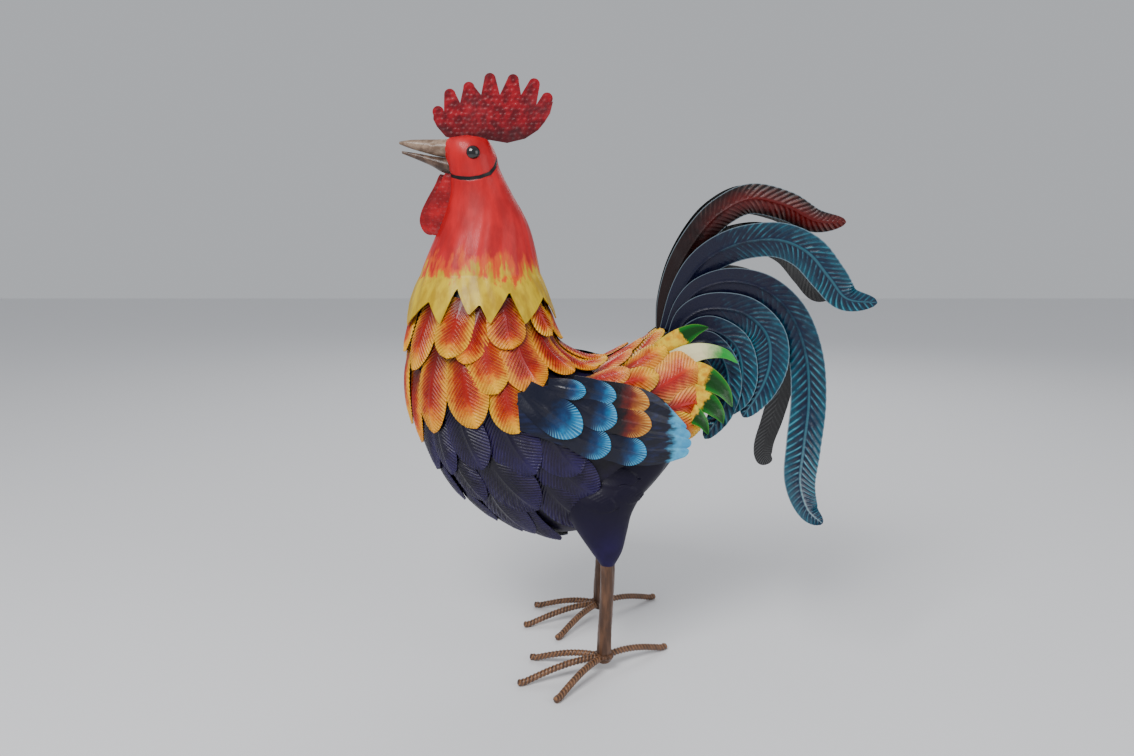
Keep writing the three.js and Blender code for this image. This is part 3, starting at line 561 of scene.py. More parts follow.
def tail_paint(name, root, middle, edge, barb, rib, tip, strokes):
    """Plain and dark at the root; towards the tip it gains barbs, a light rib and a bright margin."""
    f = Finish(name, 0.34)
    across, along = f.on_sheet()
    side = f.from_rib(across)
    wobble = f.wobble(0.008, 4, 0.8)
    outer = f.step(f.plus(along, f.times(wobble, 0.5)), 0.3, 0.7)
    colour = f.blend(f.step(f.plus(side, wobble), 0.25, 0.95), middle, edge)
    colour = f.blend(outer, root, colour)
    colour = f.blend(f.step(along, 0.9, 1.0), colour, tip)
    wave = barb_wave(f, wobble)
    patches = f.scaled(f.step(f.noise(0.03, 3), 0.4, 0.62), 0.7, 0.3)
    share = f.times(f.step(side, 0.05, 0.2), f.times(outer, patches))
    colour = with_barbs(f, colour, wave, share, barb, strokes, 0.55)
    colour = f.blend(f.times(f.step(side, 0.1, 0.03), f.times(outer, 0.25)), colour, rib)
    colour = f.blend(f.times(f.step(side, 0.93, 0.99), 0.4), colour, "9cb4c0")
    barb_bump(f, wave, share)
    return f.finish(f.underside(across, colour, "040406"))


def covert_paint(name, shades, first_shades=None):
    """A wing covert, dark at its hidden root and bright towards its tip, with short strokes at the rim."""
    f = Finish(name)
    across, along = f.on_sheet()
    side = f.from_rib(across)
    wobble = f.wobble(0.006, 4, 0.5)
    reach = f.plus(along, f.times(wobble, 0.6))
    sides = f.times(f.step(side, 0.5, 0.9), f.step(along, 0.55, 0.72))
    on_rim = f.math("MAXIMUM", f.step(along, 0.76, 0.95), sides)
    strokes = f.times(f.times(f.step(barb_wave(f, wobble), 0.3, 1.0), on_rim), 0.6)

    def shade(dark, body, bright, pale):
        colour = f.blend(f.step(reach, 0.4, 0.72), dark, body)
        colour = f.blend(f.times(f.step(reach, 0.62, 0.92), f.step(side, -0.4, 0.6)), colour, bright)
        return f.blend(strokes, colour, pale)

    colour = shade(*shades)
    if first_shades:
        colour = f.blend(f.step(f.reading("tone"), 0.8, 0.9), colour, shade(*first_shades))
    f.bump(f.noise(0.003, 3), 0.0003)
    return f.finish(f.underside(across, colour, "060609"))


def plain_paint(name, dark, light, roughness, coat, size=0.02, depth=0.0004):
    """Two tones of one paint in soft patches over a slightly uneven sheet."""
    f = Finish(name, roughness, coat)
    f.uneven(depth)
    return f.finish(f.patches(dark, light, size))


def head_paint():
    """Red that runs down into a yellow collar in streaks, with a black line under each eye."""
    f = Finish("head_enamel", 0.42, 0.1)
    fine = f.noise(0.0045, 3, (1, 1, 0.1))
    broad = f.noise(0.02, 2, (1, 1, 0.4))
    ragged = f.scaled(fine, 0.05, f.times(broad, 0.05))
    level = f.plus(f.height(), f.plus(ragged, -0.05))
    red = f.patches("a00810", "c8141c", 0.014, low=0.3, stretch=(1, 1, 0.3))
    orange = f.blend(f.step(level, COLLAR_RED + 0.012, COLLAR_RED), red, "d04a14")
    yellow = f.patches("b08c08", "d4b414", 0.01, 3, high=0.65, stretch=(1, 1, 0.2))
    colour = f.blend(f.step(level, COLLAR_RED, COLLAR_RED - 0.01), orange, yellow)
    tips = f.step(f.plus(level, f.times(f.noise(0.01, 2), 0.02)), SKIRT_TIPS + 0.018, SKIRT_TIPS)
    colour = f.blend(f.times(tips, 0.75), colour, "d2501a")
    colour = f.blend(f.step(f.reading("tone"), 0.5, 0.9), colour, "0c0a0c")
    f.bump(f.plus(f.noise(0.01, 2, (1, 1, 0.3)), f.times(fine, 0.3)), 0.0004)
    return f.finish(colour, 0.05)


def comb_paint():
    """Deep red, darker towards the lower edge."""
    f = Finish("comb_enamel", 0.36, 0.12)
    _, height = f.on_sheet()
    low = f.step(f.plus(height, f.wobble(0.012, 3, 0.2)), 0.42, 0.04)
    f.bump(f.noise(0.003, 3), 0.0003)
    return f.finish(f.blend(f.times(low, 0.8), f.patches("5c0210", "940418", 0.008, high=0.65), "30020a"))


def wattle_paint():
    """Bright red with a dark strip down the rear edge."""
    f = Finish("wattle_enamel", 0.22, 0.5)
    across, _ = f.on_sheet()
    rear = f.step(f.plus(across, f.wobble(0.006, 3, 0.1)), 0.84, 0.92)
    f.bump(f.noise(0.003, 3), 0.0002)
    return f.finish(f.blend(f.times(rear, 0.7), f.patches("7c040e", "b00c18", 0.012), "260206"))


def wing_paint():
    """Navy with faint long strokes, and a light blue scalloped end with a jagged border."""
    f = Finish("wing_enamel", 0.36)
    across, along = f.on_sheet()
    grain = f.noise(0.004, 4, (0.12, 1, 1))
    navy = f.blend(f.step(grain, 0.4, 0.75), "080b1e", "162046")
    ragged = f.plus(along, f.scaled(grain, 0.12, -0.06))
    light = f.patches("3c98c8", "5cb8dc", 0.009, 3, low=0.3)
    f.bump(grain, 0.0003)
    return f.finish(f.underside(across, f.blend(f.step(ragged, 0.86, 0.92), navy, light), "0a0e1e"))


def curl_paint():
    """Yellow at the root, then dark green with a jagged border; one curl is cream and pale green."""
    f = Finish("tail_green_enamel", 0.5, 0.04, specular=0.2)
    across, along = f.on_sheet()
    ragged = f.plus(along, f.wobble(0.004, 4, 0.2))
    side = f.from_rib(across)
    green = f.blend(f.step(side, 0.35, 0.9), "033a0a", "0c6c18")
    yellow = f.patches("d09010", "e8c430", 0.006, 3, high=0.65)
    colour = f.blend(f.step(ragged, 0.4, 0.46), yellow, green)
    pale = f.blend(f.step(ragged, 0.4, 0.75), "e8e0b0", "209438")
    colour = f.blend(f.math("COMPARE", f.reading("tone"), PALE_CURL, 0.05), colour, pale)
    colour = f.blend(f.times(f.step(side, 0.9, 0.98), 0.3), colour, "a8c050")
    f.bump(f.noise(0.003, 3), 0.0003)
    return f.finish(f.underside(across, colour, "16240e"))


def thigh_paint():
    """Violet, darker and bluer towards the body."""
    f = Finish("thigh_enamel", 0.5, 0.05, specular=0.2)
    violet = f.patches("150a32", "201248", 0.02)
    level = f.plus(f.height(), f.times(f.noise(0.02, 2), 0.03))
    f.uneven(0.0004)
    return f.finish(f.blend(f.step(level, 0.12, 0.18), violet, "100a22"))


def bronze_paint():
    """Brown lacquer, with a painted highlight that makes the ribs of the rod lighter."""
    f = Finish("leg_lacquer", 0.38, 0.3, 0.15)
    brown = f.patches("442c1e", "6c4a34", 0.006, stretch=(1, 1, 0.2))
    f.bump(f.noise(0.002, 3, (1, 1, 0.3)), 0.0003)
    # Painted highlight: the rod's ribs blend towards light brown.
    return f.finish(f.blend(f.times(f.step(f.reading("tone"), 0.45, 1.0), 0.55), brown, "a87850"))


# Body shell: the swept form, with leaves pressed into its flanks

BODY_TOP = COLLAR + 0.02
BODY_INSET = 2.2 * MM  # keeps the shell's top inside the neck
FLANK_RELIEF = 1.1 * MM


def pressed(points, feathers, depth, barb_depth=0.0):
    """Relief of leaf shapes pressed into a surface, from side-view points in thousandths."""
    height = np.zeros(points.shape[:-1])
    for base, tip, width in feathers:
        base, tip = np.array(base, float), np.array(tip, float)
        length = np.linalg.norm(tip - base)
        way = (tip - base) / length
        p = points - base
        along = (p @ way) / length
        across = (p[..., 0] * -way[1] + p[..., 1] * way[0]) / (width / 2)
        swell = np.sqrt(np.clip(1 - np.abs(2 * np.clip(along, 0, 1) ** 0.8 - 0.9) ** 2.4, 0, 1))
        inside = ease(1 - np.abs(across) / np.maximum(swell, 0.05), 0, 0.35) * ((along > 0) & (along < 1))
        leaf = inside * (0.35 + 0.65 * ease(along)) * (1 + 0.25 * np.exp(-((across / 0.12) ** 2)))
        barb = (along * length - np.abs(across) * width / 2) * SHARE / BARB_PITCH
        leaf = leaf * depth + inside * barb_depth * np.sin(2 * math.pi * barb)
        height = np.where(inside > 0, leaf, height)
    return height


def side_view(points):
    return np.stack([points[..., 0], points[..., 2]], -1) / SHARE


FLANK_LEAVES = [
    ((-75, 388), (-8, 352), 44), ((-20, 378), (44, 352), 42), ((-88, 352), (-22, 322), 42),
    ((-30, 346), (34, 326), 42), ((-80, 318), (-22, 286), 38), ((40, 372), (88, 350), 36),
    ((92, 420), (124, 392), 30), ((96, 462), (132, 446), 28), ((60, 410), (100, 396), 30),
]
THIGH_LEAVES = [((-30, 352), (62, 340), 44), ((-44, 318), (24, 296), 40), ((20, 322), (70, 306), 34)]


def body_part():
    s, angle = grid(np.linspace(BODY_TOP, LAST_STATION, 150), turns(144) - math.pi)
    inset = BODY_INSET * (1 - np.clip((s - BODY_TOP) / 0.7, 0, 1))
    flat = skin(s, angle)
    relief = pressed(side_view(flat), FLANK_LEAVES, FLANK_RELIEF) * (np.abs(np.sin(angle)) > 0.3)
    return closed_tube(on_skin(np.stack([s, angle], -1), relief - inset))


# Neck and head: closed down to the collar, and below it a skirt of pointed tongues

NECK_SIDES = 216
# The photograph's pixels along the neck's cut edge, from the breast to the back
NECK_TIPS = [(415, 327), (444, 326), (470, 317), (489, 326), (521, 326), (550, 320)]
NECK_VALLEYS = [(411, 291), (433, 302), (458, 288), (480, 305), (508, 292), (538, 297)]
FRONT_VALLEY = 7.0
BACK_VALLEY = 6.8
CHEEK_LINE = [
    (446, 170), (451, 176), (460, 178), (470, 178.5), (480, 177), (490, 173), (495, 168), (497, 160)]
CHEEK_LINE_WIDTH = 1.5 * MM
CHEEK_LINE_BLUR = 0.8 * MM
CHEEK_LINE_DEPTH = 0.4 * MM
BEAK_WELD = (446, 146)
WELD_REACH = 9 * MM
WELD_LUMP = 7 * MM
WELD_HEIGHT = 0.9 * MM
STRANDS = 26
STRAND_HEIGHT = 0.22 * MM


def cut_edge():
    """Angle and station of the tips and valleys round the left half of the neck's edge."""
    points = [place_at(pixel) for pixel in NECK_TIPS + NECK_VALLEYS]
    left = sorted((min(-angle, math.pi - 0.05), s) for s, angle in points)
    return np.array([(0.0, FRONT_VALLEY)] + left + [(math.pi, BACK_VALLEY)])


CUT_EDGE = cut_edge()
EDGE_LOWEST = CUT_EDGE[:, 1].max()


def tongue_edge(angle):
    round_half = np.abs((angle + math.pi) % (2 * math.pi) - math.pi)
    return np.interp(round_half, CUT_EDGE[:, 0], CUT_EDGE[:, 1])


def skirt_lift(s):
    share = np.clip((s - COLLAR) / (EDGE_LOWEST - COLLAR), 0, 1)
    return SKIRT_LIFT * (1 - (1 - share) ** 2)


def distance_to_line(points, line):
    distance = np.full(points.shape[:-1], 1.0)
    for a, b in zip(line[:-1], line[1:]):
        along = np.clip(((points - a) @ (b - a)) / ((b - a) @ (b - a)), 0, 1)
        distance = np.minimum(distance, np.linalg.norm(points - a - along[..., None] * (b - a), axis=-1))
    return distance


def neck_ring(s, lift):
    """A ring of points round the neck, over faint strands."""
    angle = turns(NECK_SIDES)
    s = np.broadcast_to(s, angle.shape)
    strands = np.sin(STRANDS * angle + 2.5 * np.sin(2 * s) + np.cos(5 * angle))
    return on_skin(np.stack([s, angle], -1), lift + STRAND_HEIGHT * ease(s, 4.0, 6.2) * strands)


def neck_part():
    """Closed rings down to the collar, then the skirt's outer face, and its inner face back up."""
    spans = ((0, 1, 34), (1, 4, 110), (4, COLLAR, 50))
    rows = np.unique(np.concatenate([np.linspace(*span) for span in spans]))
    flat = np.zeros(NECK_SIDES)
    closed = [neck_ring(s, flat) for s in rows]
    edge = tongue_edge(turns(NECK_SIDES))
    levels = [mix(COLLAR, edge, t) for t in np.linspace(0, 1, 19)[1:]]
    outer = [neck_ring(s, skirt_lift(s)) for s in levels]
    inner = [neck_ring(s, skirt_lift(s) - SHEET) for s in levels[::-1]]
    rings = np.array(closed + outer + inner + [neck_ring(COLLAR, flat - SHEET)])
    left = np.concatenate([rings[..., :1], -np.abs(rings[..., 1:2]), rings[..., 2:]], -1)
    line = np.array([skin(*place_at(pixel)) for pixel in CHEEK_LINE])
    groove = ease(CHEEK_LINE_WIDTH + CHEEK_LINE_BLUR - distance_to_line(left, line), 0, CHEEK_LINE_BLUR)
    weld = np.linalg.norm(left - skin(*place_at(BEAK_WELD)), axis=-1)
    lump = ease(WELD_REACH - weld, 0, 5 * MM) * (0.5 + 0.5 * lumps(left, WELD_LUMP, 11))
    out = unit((rings - rings.mean(1, keepdims=True)) * [1, 1, 0.4])
    rings = rings + out * (WELD_HEIGHT * lump - CHEEK_LINE_DEPTH * groove)[..., None]
    return {**closed_tube(rings), "tone": ends_added(groove)}


def lumps(points, size, seed):
    """Smooth noise from a few waves, the same each run."""
    waves = np.random.default_rng(seed).normal(0, 1, (9, 3)) * 2 * math.pi / size
    starts = np.random.default_rng(seed + 1).random(9) * 2 * math.pi
    return np.sin(points @ waves.T + starts).sum(-1) / 4


# Flat plates with hammered dimples: comb and wattles


def arc(centre, radius, start, end, count):
    angles = np.linspace(start, end, count)
    return [(centre[0] + radius * math.cos(t), centre[1] + radius * math.sin(t)) for t in angles]


def hex_grid(low, high, spacing):
    rows = np.arange(low[1], high[1], spacing * math.sqrt(3) / 2)
    points = []
    for k, z in enumerate(rows):
        xs = np.arange(low[0] + (k % 2) * spacing / 2, high[0], spacing)
        points += [(x, z) for x in xs]
    return np.array(points)


def nearest(points, targets):
    return np.sqrt(((points[:, None, :] - targets[None]) ** 2).sum(-1)).min(1)


def hammered_plate(outline, thickness, y, crown, crown_reach, dimple, spacing, pitch, depth):
    """An upright plate from a side-view outline in metres, with dimples on both faces."""
    outline = np.array(outline)
    steps = np.linalg.norm(np.roll(outline, -1, 0) - outline, axis=1)
    dense = []
    for point, after, length in zip(outline, np.roll(outline, -1, 0), steps):
        count = max(int(round(length / spacing)), 1)
        dense += [tuple(mix(point, after, k / count)) for k in range(count)]
    dense = np.array(dense)
    inner = hex_grid(outline.min(0), outline.max(0), spacing)
    inner = inner[nearest(inner, dense) > spacing * 0.55]
    points = np.concatenate([dense, inner])
    edges = [(k, (k + 1) % len(dense)) for k in range(len(dense))]
    found = geometry.delaunay_2d_cdt([Vector(p) for p in points], edges, [], 1, 1e-7)
    flat = np.array([tuple(v) for v in found[0]])
    triangles = np.array(found[2])
    border = nearest(flat, dense)
    centres = hex_grid(outline.min(0) + pitch * 0.3, outline.max(0), pitch)
    centres = centres + np.random.default_rng(3).normal(0, pitch * 0.14, centres.shape)
    hollow = np.exp(-((nearest(flat, centres) / (dimple / 2)) ** 2))
    relief = crown * ease(border, 0, crown_reach) + depth * (0.4 - hollow) * ease(border, 0.8 * MM, 3 * MM)
    half = thickness / 2 + relief
    count = len(flat)
    left = np.stack([flat[:, 0], y - half, flat[:, 1]], -1)
    right = np.stack([flat[:, 0], y + half, flat[:, 1]], -1)
    rims = {}
    for a, b, c in triangles.tolist():
        for pair in ((a, b), (b, c), (c, a)):
            if (pair[1], pair[0]) in rims:
                del rims[(pair[1], pair[0])]
            else:
                rims[pair] = True
    walls = [(b, a, a + count, b + count) for a, b in rims]
    walls = np.array([(w[0], w[1], w[2]) for w in walls] + [(w[0], w[2], w[3]) for w in walls])
    faces = triangles.tolist() + (triangles[:, ::-1] + count).tolist() + walls.tolist()
    all_points = np.concatenate([left, right])
    low, high = flat.min(0), flat.max(0)
    uv = np.concatenate([(flat - low) / (high - low)] * 2)
    return solid(all_points, faces, uv)


COMB_TIPS = [(-279, 946), (-255, 975), (-223, 986), (-187, 1000), (-147, 998), (-111, 991), (-86, 966)]
COMB_VALLEYS = [(-264, 938), (-237, 952), (-202, 965), (-171, 965), (-136, 965), (-111, 949)]
COMB_LOWER_EDGE = [
    (-83, 955), (-88, 936), (-97, 922), (-108, 909), (-130, 895), (-160, 888), (-190, 893),
    (-230, 890), (-262, 898), (-276, 914), (-282, 926),
]
COMB_FIRST_FOOT = (-258, 915)
COMB_LAST_FOOT = (-125, 930)
TOOTH_HALF_WIDTH = 9.5
COMB_THICKNESS = 2.2 * MM


def comb_part():
    feet = []
    for i in range(len(COMB_TIPS)):
        before = COMB_VALLEYS[max(i - 1, 0)]
        after = COMB_VALLEYS[min(i, len(COMB_VALLEYS) - 1)]
        feet.append(((before[0] + after[0]) / 2, (before[1] + after[1]) / 2))
    feet[0], feet[-1] = COMB_FIRST_FOOT, COMB_LAST_FOOT
    outline = []
    for i, (tip, foot) in enumerate(zip(COMB_TIPS, feet)):
        turn = math.atan2(tip[1] - foot[1], tip[0] - foot[0])
        reach = TOOTH_HALF_WIDTH
        centre = (tip[0] - reach * math.cos(turn), tip[1] - reach * math.sin(turn))
        outline += arc(centre, reach, turn + math.pi / 2, turn - math.pi / 2, 9)
        outline += COMB_VALLEYS[i:i + 1]
    outline += COMB_LOWER_EDGE
    outline = [(x * SHARE, z * SHARE) for x, z in outline]
    return hammered_plate(outline, COMB_THICKNESS, 0.0, crown=0.0, crown_reach=1 * MM, dimple=3.6 * MM,
                          spacing=1.0 * MM, pitch=4.9 * MM, depth=0.6 * MM)


WATTLE_EDGE = [
    (-262, 838), (-272, 819), (-285, 797), (-296, 775), (-299, 757), (-292, 741), (-280, 736),
    (-268, 744), (-254, 772), (-246, 806), (-250, 836),
]
WATTLE_THICKNESS = 1.6 * MM
WATTLE_CROWN = 1.1 * MM
WATTLE_SPREAD = 17 * MM
WATTLE_STEP = 7 * MM


def wattle_part(y, ahead):
    closed = WATTLE_EDGE[-1:] + WATTLE_EDGE + WATTLE_EDGE[:1]
    curve = smooth(closed, np.linspace(1, len(closed) - 2, 60))
    outline = [(x * SHARE - ahead, z * SHARE) for x, z in curve]
    return hammered_plate(outline, WATTLE_THICKNESS, y, crown=WATTLE_CROWN, crown_reach=9 * MM, dimple=3 * MM,
                          spacing=1.1 * MM, pitch=4.6 * MM, depth=0.5 * MM)


# Beak: two tapering halves that part towards the tip

UPPER_BEAK = [(-250, 862.7, 894, 18), (-273, 865.7, 893, 15), (-298, 872, 893, 11), (-322, 879, 892.5, 7),
              (-340, 886, 890, 1.5)]
LOWER_BEAK = [(-250, 834, 862, 17), (-271, 842, 865, 13.5), (-287, 851, 867, 10), (-308, 860, 871, 6.5),
              (-336, 871, 875, 1.5)]
NOSTRIL = (-283, 886)


def beak_part(stations, keel, nostril=False):
    t = np.linspace(0, len(stations) - 1, 44)
    x, low, high, half = smooth(np.array(stations, float), t).T
    turn = turns(40)
    ridge = 1 + 0.07 * np.exp(-(((turn - keel + math.pi) % (2 * math.pi) - math.pi) / 0.35) ** 2)
    side = np.cos(turn) * ridge
    rise = (1 + np.sin(turn) * ridge) / 2
    points = joined(x[:, None], half[:, None] * side, mix(low[:, None], high[:, None], rise))
    if nostril:
        away = np.hypot(points[..., 0] - NOSTRIL[0], (points[..., 2] - NOSTRIL[1]) * 1.6)
        points[..., 1] *= 1 - 0.22 * np.exp(-((away / 3.5) ** 2))
    return closed_tube(points * SHARE)


EYE_PLACE = (-213, 871)
EYE_RADIUS = 6.25 * MM
EYE_BULGE = 3.2 * MM
EYE_SINK = 1.2 * MM


def on_head(rings):
    """Points from (reach, rise) rings round the eye's place on the left of the head."""
    place, _ = locate([EYE_PLACE])
    s, angle = place[0]
    centre, out = skin(s, angle), skin_normal(np.array(s), np.array(angle))
    across = unit(np.cross([0, 0, 1], out))
    up = np.cross(out, across)
    turn = turns(40)[:, None]
    return np.array([centre + out * rise + across * reach * np.cos(turn) + up * reach * np.sin(turn)
                     for reach, rise in rings])


def eye_part():
    angles = np.linspace(0, math.pi / 2, 14)[:-1]
    rings = [(EYE_RADIUS * math.cos(a), (EYE_BULGE + EYE_SINK) * math.sin(a) - EYE_SINK) for a in angles]
    return closed_tube(on_head(rings))


# Leaf feathers

LEAF_ROWS = 62
LEAF_COLUMNS = 29
LEAF_SHEET = 0.8 * MM
LEAF_CROWN = 1.4 * MM
LEAF_STAGGER = 0.8 * MM  # neighbours in a row lie at three heights
MIDDLE_SHIFT = -1.4 * MM
WIDTH_SHARE = 1.12  # leaves are a little wider than the part of them that shows
RIB_HEIGHT = 0.8 * MM
RIB_WIDTH = 1.1 * MM
BARB_HEIGHT = 0.42 * MM
BARB_PITCH = 3.7 * MM
FAN_BARBS = 26
FAN_CENTRE = 0.5
LEAF_WIDEST = 0.6  # share of the length
ROOT_WIDTH = 0.7  # share of the full width
ROOT_SHARE = 0.45  # the tucked-in share of a leaf, over which its relief fades in
LEAF_RISE = (SEAT, SEAT + ROW_LIFT)
OVER_WING = (SEAT + 1 * MM, WING_STAND + ROW_LIFT + 1.5 * MM)
PIXEL = 0.93 * MM  # one pixel of the photograph on the near flank


def leaf_outline(t):
    """Half width of a leaf, as a share, along its length."""
    swell = mix(ROOT_WIDTH, 1.0, np.sin(np.clip(t / LEAF_WIDEST, 0, 1) * math.pi / 2))
    tip = np.clip(1 - np.clip((t - LEAF_WIDEST) / (1 - LEAF_WIDEST), 0, 1) ** 2.1, 0, 1) ** 0.6
    return swell * np.maximum(tip, 0.02)


def leaf_grid(surface, base, tip, half):
    """Places of a leaf's points on a surface, and the leaf's length."""
    middle = mix(base, tip, np.linspace(0, 1, LEAF_ROWS)[:, None])
    zero = np.zeros(LEAF_ROWS)
    line = surface(middle, zero)
    way = unit(np.gradient(line, axis=0))
    step = 1e-3 * np.abs(tip - base).max() + 1e-4
    axes = [(surface(middle + move, zero) - surface(middle - move, zero)) / (2 * step)
            for move in (np.array([step, 0]), np.array([0, step]))]
    side = unit(np.cross(unit(np.cross(axes[0], axes[1])), way))
    turn = np.linalg.pinv(np.stack(axes, -1)) @ side[..., None]
    reach = np.linspace(-1, 1, LEAF_COLUMNS) * half[:, None]
    length = np.linalg.norm(np.diff(line, axis=0), axis=1).sum()
    return middle[:, None] + turn[:, None, :, 0] * reach[..., None], length


def leaf_part(surface, base, tip, width, rise=LEAF_RISE, shift=0.0, crown=LEAF_CROWN, tone=None, fan=False):
    """A leaf between two places on a surface, with a rib and slanting barbs, or a fan of them."""
    tone = RANDOM.random() if tone is None else tone
    t, u = grid(np.linspace(0, 1, LEAF_ROWS), np.linspace(-1, 1, LEAF_COLUMNS))
    half = width / 2 * leaf_outline(t[:, 0])
    place, length = leaf_grid(surface, np.asarray(base, float), np.asarray(tip, float), half)
    reach = u * half[:, None]
    if fan:
        barb = FAN_BARBS * np.arctan2(reach, np.maximum(t - FAN_CENTRE, 1e-3) * length) / math.pi
        share = ease(t, 0.7, 0.9)
    else:
        barb = (t * length - np.abs(reach)) / BARB_PITCH
        share = ease(np.abs(u), 0.05, 0.3)
    rib = RIB_HEIGHT * np.exp(-((reach / RIB_WIDTH) ** 2)) * ease(1 - t, 0, 0.2)
    ridge = BARB_HEIGHT * np.sin(2 * math.pi * barb) * share
    free = ease(t, 0, ROOT_SHARE)
    lift = mix(rise[0], rise[1], t ** 1.2) + free * (shift + crown * (1 - u * u))
    top = surface(place, lift + free * (rib + ridge))
    bottom = surface(place, lift - LEAF_SHEET)
    return closed_sheet(top, bottom, np.stack([(u + 1) / 2, t], -1), tone, barb)


def leaves_at(leaves, rise=LEAF_RISE, hidden=0.2):
    """Leaves on the left of the skin, from the base, tip and width of each in the photograph.

    Hidden is the share of a leaf's length that the leaves above it cover.
    """
    parts = []
    for k, (base, tip, wide) in enumerate(leaves):
        root, end = place_at(base), place_at(tip)
        root = root + (root - end) * hidden
        parts.append(leaf_part(on_skin, root, end, wide * WIDTH_SHARE * PIXEL, rise, LEAF_STAGGER * (k % 3)))
    return parts


def row_of(leaves, first, last, angle, width, hidden=0.2):
    """Leaves on both sides, and one between two stations on the centre line of the breast or back."""
    left = leaves_at(leaves, hidden=hidden)
    middle = leaf_part(on_skin, (first, angle), (last, angle), width * MM, shift=MIDDLE_SHIFT)
    return left + [mirrored(part) for part in left] + [middle]


# Base, tip and width of each leaf that the photograph shows, in its pixels
HACKLE_1 = [
    ((436, 300), (419, 370), 29), ((417, 305), (409, 352), 27), ((463, 299), (451, 359), 32),
    ((482, 305), (466, 365), 29), ((503, 298), (510, 351), 33), ((531, 299), (545, 338), 24),
]
HACKLE_2 = [
    ((484, 328), (499, 394), 36), ((514, 328), (541, 391), 38), ((537, 330), (573, 378), 26),
    ((548, 334), (599, 373), 17), ((556, 338), (607, 360), 13),
]
HACKLE_3 = [
    ((417, 380), (427, 440), 28), ((438, 358), (440, 430), 32), ((408, 350), (411, 425), 30),
    ((503, 380), (520, 432), 32), ((464, 358), (480, 426), 37),
]
BELLY_1 = [
    ((428, 420), (436, 470), 30), ((441, 422), (458, 470), 26), ((461, 412), (487, 465), 36),
    ((500, 415), (537, 470), 44), ((545, 425), (580, 469), 42),
]
BELLY_2 = [
    ((438, 455), (463, 500), 30), ((455, 452), (489, 495), 30), ((490, 455), (540, 503), 46),
    ((548, 452), (597, 491), 44),
]
BELLY_3 = [((462, 488), (500, 518), 30), ((488, 480), (537, 526), 36), ((545, 480), (596, 514), 40)]
BELLY_4 = [((490, 508), (522, 529), 28), ((520, 505), (562, 536), 26)]
SADDLE_1 = [((574, 366), (606, 357), 20), ((600, 372), (634, 356), 24), ((590, 383), (630, 375), 20)]
SADDLE_2 = [((606, 364), (643, 341), 20), ((626, 372), (665, 352), 27), ((612, 387), (656, 377), 22),
            ((636, 358), (663, 334), 22)]
SADDLE_3 = [((648, 394), (688, 368), 34), ((664, 408), (698, 398), 27), ((664, 410), (685, 424), 22)]
BREAST = 0.0
BACK = -math.pi
HACKLE_ROWS = [
    row_of(HACKLE_1, 6.8, 8.4, BREAST, 32, hidden=0.0)
    + [leaf_part(on_skin, (6.6, BACK), (8.0, BACK), 26 * MM)],
    row_of(HACKLE_2, 7.9, 10.1, BACK, 26),
    row_of(HACKLE_3, 8.1, 10.1, BREAST, 36),
]
BELLY_ROWS = [
    row_of(BELLY_1, 9.7, 11.0, BREAST, 28), row_of(BELLY_2, 10.6, 11.8, BREAST, 30),
    row_of(BELLY_3, 11.3, 12.5, BREAST, 30), row_of(BELLY_4, 12.1, 13.1, BREAST, 28),
]
SADDLE_ROWS = [row_of(SADDLE_1, 9.9, 11.6, BACK, 24), row_of(SADDLE_2, 11.2, 12.8, BACK, 24)]
SADDLE_SIDE = leaves_at(SADDLE_3, rise=OVER_WING)

# Wings

WING_TOP = [(-139, 490), (-95, 503), (-49, 509), (-5, 507), (45, 500), (90, 478), (118, 440)]
WING_LOW = [(-135, 432), (-95, 418), (-50, 400), (-7, 384), (40, 370), (85, 366), (118, 374)]
WING_BOW = [140, 150, 153, 149, 139, 126, 112]
WING_SCALLOPS = 4
WING_SCALLOP_REACH = 26
WING_ROLL = 1.0  # thousandths that the sheet leans in at WING_ROLL_HEIGHT from its middle
WING_ROLL_HEIGHT = 30
WING_GROOVE = 0.9 * MM
WING_SHAFT = 0.7 * MM


def half_width_at(points):
    shape = points.shape[:-1]
    places, outside = locate(points.reshape(-1, 2))
    wide = smooth(HALF_WIDTHS, places[:, 0]) * np.abs(np.sin(places[:, 1]))
    return np.where(outside, 0, wide).reshape(shape)


def on_wing(place, lift):
    x, z = place[..., 0], place[..., 1]
    along = (x - WING_TOP[0][0]) / (WING_TOP[-1][0] - WING_TOP[0][0]) * (len(WING_BOW) - 1)
    middle = (smooth(WING_TOP, along)[..., 1] + smooth(WING_LOW, along)[..., 1]) / 2
    bow = smooth(WING_BOW, along) - WING_ROLL * ((z - middle) / WING_ROLL_HEIGHT) ** 2
    out = np.maximum(bow * SHARE, half_width_at(place) * SHARE + WING_STAND)
    return np.stack([x * SHARE, -(out + lift), z * SHARE], -1)


def wing_part():
    t, f = grid(np.linspace(0, 1, 74), np.linspace(0, 1, 73))
    along = t * (len(WING_TOP) - 1)
    top, low = smooth(WING_TOP, along), smooth(WING_LOW, along)
    across = (f * WING_SCALLOPS) % 1
    round_end = np.sqrt(np.clip(1 - (2 * across - 1) ** 2, 0, 1))
    whole_end = np.clip(1 - ((f - 0.42) / 0.62) ** 2, 0, 1)
    reach = WING_SCALLOP_REACH * (0.25 * round_end + 0.8 * whole_end) * ease(t, 0.75, 1.0)
    place = mix(low, top, f[..., None])
    place = place + np.stack([reach, np.zeros_like(reach)], -1)
    groove = np.exp(-((np.minimum(across, 1 - across) / 0.12) ** 2)) * ease(t, 0.35, 0.7)
    shaft = np.exp(-(((across - 0.5) / 0.16) ** 2)) * ease(t, 0.45, 0.75) * (1 - ease(t, 0.84, 0.92))
    relief = WING_SHAFT * shaft - WING_GROOVE * groove
    uv = np.stack([f, t], -1)
    return closed_sheet(on_wing(place, SHEET + relief), on_wing(place, np.zeros_like(relief)), uv)


